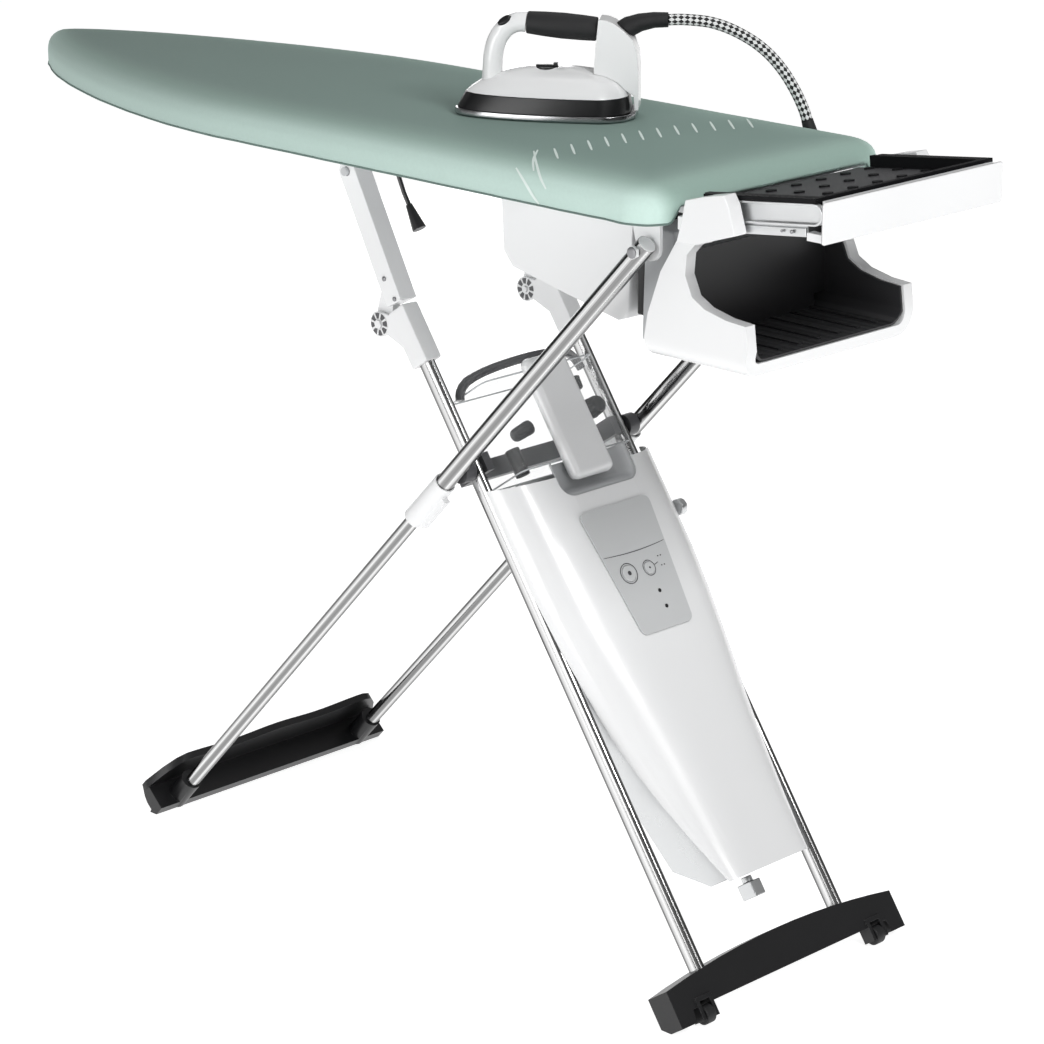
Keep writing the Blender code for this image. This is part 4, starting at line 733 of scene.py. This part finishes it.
def make_hose():
    """Braided steam hose from the iron down to the board; a loose piece that moves with neither."""
    path = smooth_path(HOSE_ROUTE, 6)
    sides = 24
    mesh = tube_mesh("steam_hose", path, HOSE_DIAMETER / 2, sides)
    lay_braid(mesh, path, sides)
    hose = add_piece("steam_hose", mesh, braid_material(), None)
    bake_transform(hose)
    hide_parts("steam_cord")


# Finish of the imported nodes

EDGE_ROUNDING = 0.0007
SHARP_ANGLE = math.radians(38)


def soften(piece, width):
    """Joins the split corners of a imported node, rounds its sharp edges by width and shades it evenly.
    With no width, the sharp edges stay sharp."""
    mesh = piece.data
    if "custom_normal" in mesh.attributes:
        mesh.attributes.remove(mesh.attributes["custom_normal"])
    for face in mesh.polygons:
        face.use_smooth = True
    weld = piece.modifiers.new("weld", "WELD")
    weld.merge_threshold = 0.00002
    if width:
        round_off = piece.modifiers.new("round_off", "BEVEL")
        round_off.width = width
        round_off.segments = 2
        round_off.limit_method = "ANGLE"
        round_off.angle_limit = SHARP_ANGLE
    else:
        sharp = piece.modifiers.new("sharp", "EDGE_SPLIT")
        sharp.split_angle = SHARP_ANGLE
    even = piece.modifiers.new("even", "WEIGHTED_NORMAL")
    even.keep_sharp = False
    even.weight = 60


def finish_nodes():
    """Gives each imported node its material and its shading."""
    finish = {
        "white": ["fan_housing", "leg_bracket_near", "leg_bracket_far", "tail_frame", "bin_shell",
                  "tray_front", "leg_a_collar_near", "leg_a_collar_far", "case_front", "iron_body",
                  "iron_column", "sleeve_near", "sleeve_far", "arm_near", "arm_far", "tank_handle"],
        "panel": ["control_panel", "button_power", "button_mode"],
        "silver": ["case_rear", "drain_plug", "steam_knob", "tray_rail_near", "tray_rail_far"],
        "grey": ["board_panel", "bin_back", "tank_seat"],
        "dark": ["fan_motor", "pivot_bar"],
        "bow": ["bow_handle"],
        "black": ["fan_impeller", "filter_cover", "height_lever", "foot_a", "foot_b", "water_valve",
                  "iron_button", "iron_dial"],
        "gloss_black": ["iron_skirt"],
        "lining": ["bin_lining"],
        "pad": ["tray_pad"],
        "rubber": ["hose_gland", "wheel_near", "wheel_far", "iron_strain_relief", "iron_grip"],
        "chrome_a": [n for n in NODES if n.startswith("leg_a_tube")],
        "chrome_b": [n for n in NODES if n.startswith("leg_b_tube")],
        "sole": ["iron_soleplate"],
        "steel": ["rack_rail", "carriage", "boiler"],
        "clear": ["tank_body", "tank_lid"],
    }
    for key, names in finish.items():
        for name in names:
            piece = NODES[name]
            piece.data.materials.clear()
            piece.data.materials.append(MADE[key])
            soften(piece, 0.0 if key in ("panel", "clear") else EDGE_ROUNDING)


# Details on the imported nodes

def leg(x, y, d):
    """A point by its distance in front of the knuckle, across, and down the rear leg."""
    return LEG_B @ Vector((x, y, -d))


def case_half_width(depth):
    """Half the front casing's width, at a depth down the leg."""
    t = max(0.0, (depth - 0.400) / 0.410)
    return 0.139 - 0.066 * t ** 1.4


def case_front(depth, y):
    """The front casing's surface, in front of the knuckle."""
    share = min(1.0, abs(y) / case_half_width(depth))
    return TUBES_X + 0.013 + 0.052 * (1 - share ** 3.2) ** 0.55


DISH_TOP = 0.2505                    # down the leg
DISH_LENGTH = 0.0492
DISH_BOTTOM = 0.3000
DISH_HALF_WIDTH = 0.0672
DISH_CORNER_ACROSS = 0.0196
DISH_CORNER_DOWN = 0.0197
DISH_FLOOR_X = TUBES_X + 0.0432


def dish_half_width(depth):
    """Half the dish's width: its lower corners are quarter ellipses."""
    past = max(0.0, depth - DISH_BOTTOM + DISH_CORNER_DOWN) / DISH_CORNER_DOWN
    return DISH_HALF_WIDTH - DISH_CORNER_ACROSS * (1 - math.sqrt(max(0.0, 1 - past ** 2)))


def make_recess():
    """Pale dish that closes the pocket behind the foot of the tank's handle."""
    across, down = 28, 18
    verts, faces = [], []
    for j in range(down + 1):
        d = DISH_TOP + DISH_LENGTH * j / down
        half = dish_half_width(d)
        for i in range(across + 1):
            y = half * (2 * i / across - 1)
            inward = min(half - abs(y), DISH_BOTTOM - d)
            x = case_front(d, y) - 0.0012
            x -= (x - DISH_FLOOR_X) * smoothstep(0.0, 0.017, inward)
            verts.append(leg(x, y, d))
    for j in range(down):
        for i in range(across):
            k = j * (across + 1) + i
            faces.append((k, k + across + 1, k + across + 2, k + 1))
    dish = add_piece("handle_dish", new_mesh("handle_dish", verts, faces), MADE["dish"], "leg_b")
    thick = dish.modifiers.new("thick", "SOLIDIFY")
    thick.thickness = 0.0008


def panel_line(points):
    """Points across the panel and down the leg, held in front of it."""
    return [leg(0.13, y, d) for y, d in points]


def make_panel_marks():
    """Printed lines on the control panel: a divider, rings round the buttons, short lines and dots."""
    tree = tree_of(NODES["control_panel"].data)
    lines = []
    spots = [-0.0545 + 0.109 * k / 24 for k in range(25)]
    lines.append((panel_line([(y, 0.3865 + 0.003 * (1 - (y / 0.055) ** 2)) for y in spots]), 0.00055))
    turns = [2 * math.pi * k / 36 for k in range(37)]
    for button, radius, half in (("button_power", 0.0132, 0.00060), ("button_mode", 0.0100, 0.00050)):
        y, d = BUTTON_PLACES[button]
        ring = [(y + radius * math.cos(a), d + radius * math.sin(a)) for a in turns]
        lines.append((panel_line(ring), half))
    lines.append((panel_line([(0.0202 + 0.0010 * k, 0.4135 - 0.0003 * k) for k in range(9)]), 0.0005))
    for y, d in ((0.031, 0.4040), (0.036, 0.4040), (0.031, 0.4165), (0.036, 0.4165)):
        lines.append((panel_line([(y + 0.0006 * k, d) for k in range(5)]), 0.0009))
    strips = [laid_strip(tree, line, half, lambda p: (p, -LEG_OUT), 0.00015) for line, half in lines]
    laid_piece("panel_marks", strips, MADE["ink"], "leg_b")
    lamps = []
    for spot in panel_line([(0.0105, 0.446), (0.0105, 0.467)]):
        hit = tree.ray_cast(spot, -LEG_OUT)
        lamps.append(disc_mesh("lamp", hit[0] - LEG_OUT * 0.0002, LEG_OUT, 0.0026, 0.0008, 20))
    lamp = add_piece("panel_lamps", joined("panel_lamps", lamps), MADE["black"], "leg_b")


def make_button_marks():
    """A dot on each button."""
    marks = (("power_mark", "button_power", 0.0030), ("mode_mark", "button_mode", 0.0014))
    for name, body, radius in marks:
        y, d = BUTTON_PLACES[body]
        front = max(v.co.dot(LEG_OUT) for v in NODES[body].data.vertices)
        spot = leg(0.10, y, d)
        spot += LEG_OUT * (front - spot.dot(LEG_OUT) - 0.0001)
        piece = add_piece(name, disc_mesh(name, spot, LEG_OUT, radius, 0.0003, 20), MADE["ink"], body)


def slot_mesh(middle, face_y, out):
    """A thin plate on a knuckle's side face, between two of its ribs."""
    verts = []
    for j in range(5):
        a = middle + math.radians(-15 + 7.5 * j)
        for r in (0.0072, 0.0145):
            spot = LEG_B @ Vector((r * math.cos(a), 0, r * math.sin(a)))
            verts += [(spot.x, face_y, spot.z), (spot.x, face_y + out * 0.0003, spot.z)]
    faces = []
    for n in range(0, 16, 4):
        faces += [(n + 1, n + 3, n + 7, n + 5), (n, n + 4, n + 6, n + 2),
                  (n, n + 1, n + 5, n + 4), (n + 2, n + 6, n + 7, n + 3)]
    return new_mesh("slot", verts, faces + [(0, 2, 3, 1), (16, 17, 19, 18)])


def make_knuckle_slots():
    """Dark plates between the ribs of each knuckle: painted shade that stands for the hollows of the slots.
    """
    for side, sides in (("near", ((-0.1433, -1),)), ("far", ((0.1168, -1), (0.1433, 1)))):
        slots = [slot_mesh(math.radians(45 * k + 22.5), face_y, out)
                 for face_y, out in sides for k in range(8)]
        mesh = joined("knuckle_slots", slots)
        # the plates are dark as painted shade
        piece = add_piece(f"knuckle_slots_{side}", mesh, MADE["dark"], "leg_b", smooth=False)


def make_screws():
    """Screw heads on the arms, the leg brackets and the near rail."""
    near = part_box("leg_bracket_near")[0].y
    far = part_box("leg_bracket_far")[1].y
    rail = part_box("tray_rail_near")[0].y + 0.0002
    arm_screws = []
    for y in (-0.1440, 0.1440):
        arm_screws += [(0.0715, y, 0.8186, 0.0032), (0.0900, y, 0.7960, 0.0030)]
    places = {
        "arms": arm_screws,
        "board": [(0.529, near, 0.934, 0.0068), (0.529, far, 0.934, 0.0068), (0.6685, rail, 0.9800, 0.0022),
                  (0.7417, rail, 0.9880, 0.0022), (0.7276, rail, 0.9868, 0.0016)],
    }
    for body, screws in places.items():
        heads = [disc_mesh("head", (x, y, z), (0, math.copysign(1, y), 0), radius, 0.0016)
                 for x, y, z, radius in screws]
        piece = add_piece(f"screws_{body}", joined("screws", heads), MADE["screw"], body)


CAP_STATIONS = [(0.0, 0.80, 0), (0.06, 1.05, 0), (0.22, 1.08, 0), (0.26, 0.96, 1), (0.60, 0.95, 1),
                (0.92, 0.90, 1), (1.0, 0.78, 0), (1.02, 0.40, 0)]


def cap_mesh(name, centre, axis, radius, length, flutes=14):
    """A fluted cap with a collar, narrowing a little to its end."""
    axis = Vector(axis).normalized()
    side = axis.orthogonal().normalized()
    up = axis.cross(side)
    turns = [2 * math.pi * k / (flutes * 4) for k in range(flutes * 4)]
    rings = []
    for share, scale, fluted in CAP_STATIONS:
        middle = centre + axis * length * share
        rings.append([middle + radius * scale * (1 + 0.07 * fluted * math.cos(flutes * a))
                      * (math.cos(a) * side + math.sin(a) * up) for a in turns])
    return loft(name, rings)


def make_tank_fittings():
    """Black caps inside the clear tank, and the stripes of its two rims."""
    down = (LEG_B.to_3x3() @ Vector((0, 0, -1))).normalized()
    fittings = (("tank_filter", (0.014, 0.081, 0.1890), LEG_OUT, 0.0125, 0.022),
                ("tank_float", (0.012, -0.024, 0.1890), (0, -1, -0.25), 0.0090, 0.030),
                ("tank_inlet", (0.012, 0.078, 0.1420), down, 0.0090, 0.018))
    for name, (x, y, d), axis, radius, length in fittings:
        mesh = cap_mesh(name, leg(TUBES_X + x, y, d), axis, radius, length)
        add_piece(name, mesh, MADE["black"], "tank")
    outline = round_rectangle((TUBES_X - 0.030, -0.098), (TUBES_X + 0.045, 0.098), 0.012, 5)
    outline.append(outline[0])
    rims = [tube_mesh("rim", [leg(x, y, d) for x, y in outline], 0.0011, 8) for d in (0.1262, 0.2478)]
    piece = add_piece("tank_rims", joined("tank_rims", rims), MADE["rim"], "tank")


TRAY_HALF_HEIGHT = 0.0235


def make_tray_face():
    """Bright plate on the front of the iron rest, with a softened front edge."""
    half, low, high = 0.1590, 0.9797, 1.0268
    middle = (low + high) / 2
    outline = round_rectangle((-half, low), (half, high), 0.0035, 4)
    rings = []
    for x, inset in ((0.7853, 0.0), (0.7872, 0.0), (0.7880, 0.0008)):
        across, tall = 1 - inset / half, 1 - inset / TRAY_HALF_HEIGHT
        rings.append([(x, y * across, middle + (z - middle) * tall) for y, z in outline])
    piece = add_piece("tray_face", loft("tray_face", rings), MADE["white"], "tray")
    even = piece.modifiers.new("even", "WEIGHTED_NORMAL")
    even.weight = 60


def make_leg_plugs():
    """Caps that close the upper ends of the front leg's tubes."""
    plugs = []
    for side in ("near", "far"):
        points = [v.co for v in NODES[f"leg_a_tube_upper_{side}"].data.vertices]
        end = max(p.dot(LEG_A_UP) for p in points)
        rim = [p for p in points if p.dot(LEG_A_UP) > end - 0.0002]
        middle = sum(rim, Vector()) / len(rim)
        plugs.append(disc_mesh("plug", middle - LEG_A_UP * 0.0006, LEG_A_UP, 0.0112, 0.0014))
    piece = add_piece("leg_plugs", joined("leg_plugs", plugs), MADE["white"], "leg_a")


def make_details():
    make_leg_plugs()
    make_recess()
    make_panel_marks()
    make_button_marks()
    make_knuckle_slots()
    make_screws()
    make_tank_fittings()
    make_tray_face()


MADE = {}


def make_materials():
    MADE.update({
        "white": plastic("white_gloss", (0.82, 0.825, 0.83), 0.24, coat=0.35),
        "panel": plastic("panel_silver", (0.56, 0.57, 0.575), 0.30, coat=0.3, grain=2400.0, strength=0.05),
        "silver": metal("satin_silver", (0.66, 0.67, 0.675), 0.30, (60, 1, 60), strength=0.05),
        "grey": plastic("moulded_grey", (0.42, 0.43, 0.44), 0.40),
        "dark": plastic("dark_grey", (0.085, 0.085, 0.09), 0.40),
        "black": plastic("satin_black", (0.008, 0.008, 0.009), 0.36, spread=0.15),
        "gloss_black": plastic("gloss_black", (0.005, 0.005, 0.006), 0.34, spread=0.15),
        "lining": ribbed_material(),
        "pad": pad_material(),
        "rubber": plastic("rubber_black", (0.007, 0.007, 0.008), 0.60, spread=0.2, grain=1600.0,
                          strength=0.3),
        "chrome_a": tube_metal("chrome_a", Vector((0.685, 0.0, 0.729))),
        "chrome_b": tube_metal("chrome_b", Vector((-0.569, 0.0, 0.822))),
        "sole": metal("polished_sole", (0.46, 0.46, 0.47), 0.20, (1, 30, 1), strength=0.04),
        "steel": metal("zinc_steel", (0.56, 0.57, 0.58), 0.32, (1, 20, 20)),
        "clear": tank_material(),
        "dish": plastic("dish_grey", (0.50, 0.51, 0.52), 0.35, coat=0.2),
        "rim": plastic("clear_rim", (0.62, 0.64, 0.66), 0.15, coat=0.4),
        "screw": metal("screw_steel", (0.30, 0.30, 0.31), 0.35),
        "bow": plastic("bow_grey", (0.11, 0.11, 0.115), 0.25, coat=0.4),
        "piping": plastic("piping", (0.13, 0.19, 0.17), 0.9, spread=0.25, grain=500.0, strength=0.5),
        "print": plastic("print_ink", (0.74, 0.84, 0.80), 0.85, spread=0.12, grain=500.0, strength=0.4),
        "ink": plastic("dark_ink", (0.05, 0.05, 0.055), 0.5, spread=0.1),
    })


def main():
    make_camera()
    make_light()
    make_stage()
    make_materials()
    make_hose()
    make_cover()
    make_details()
    finish_nodes()


main()
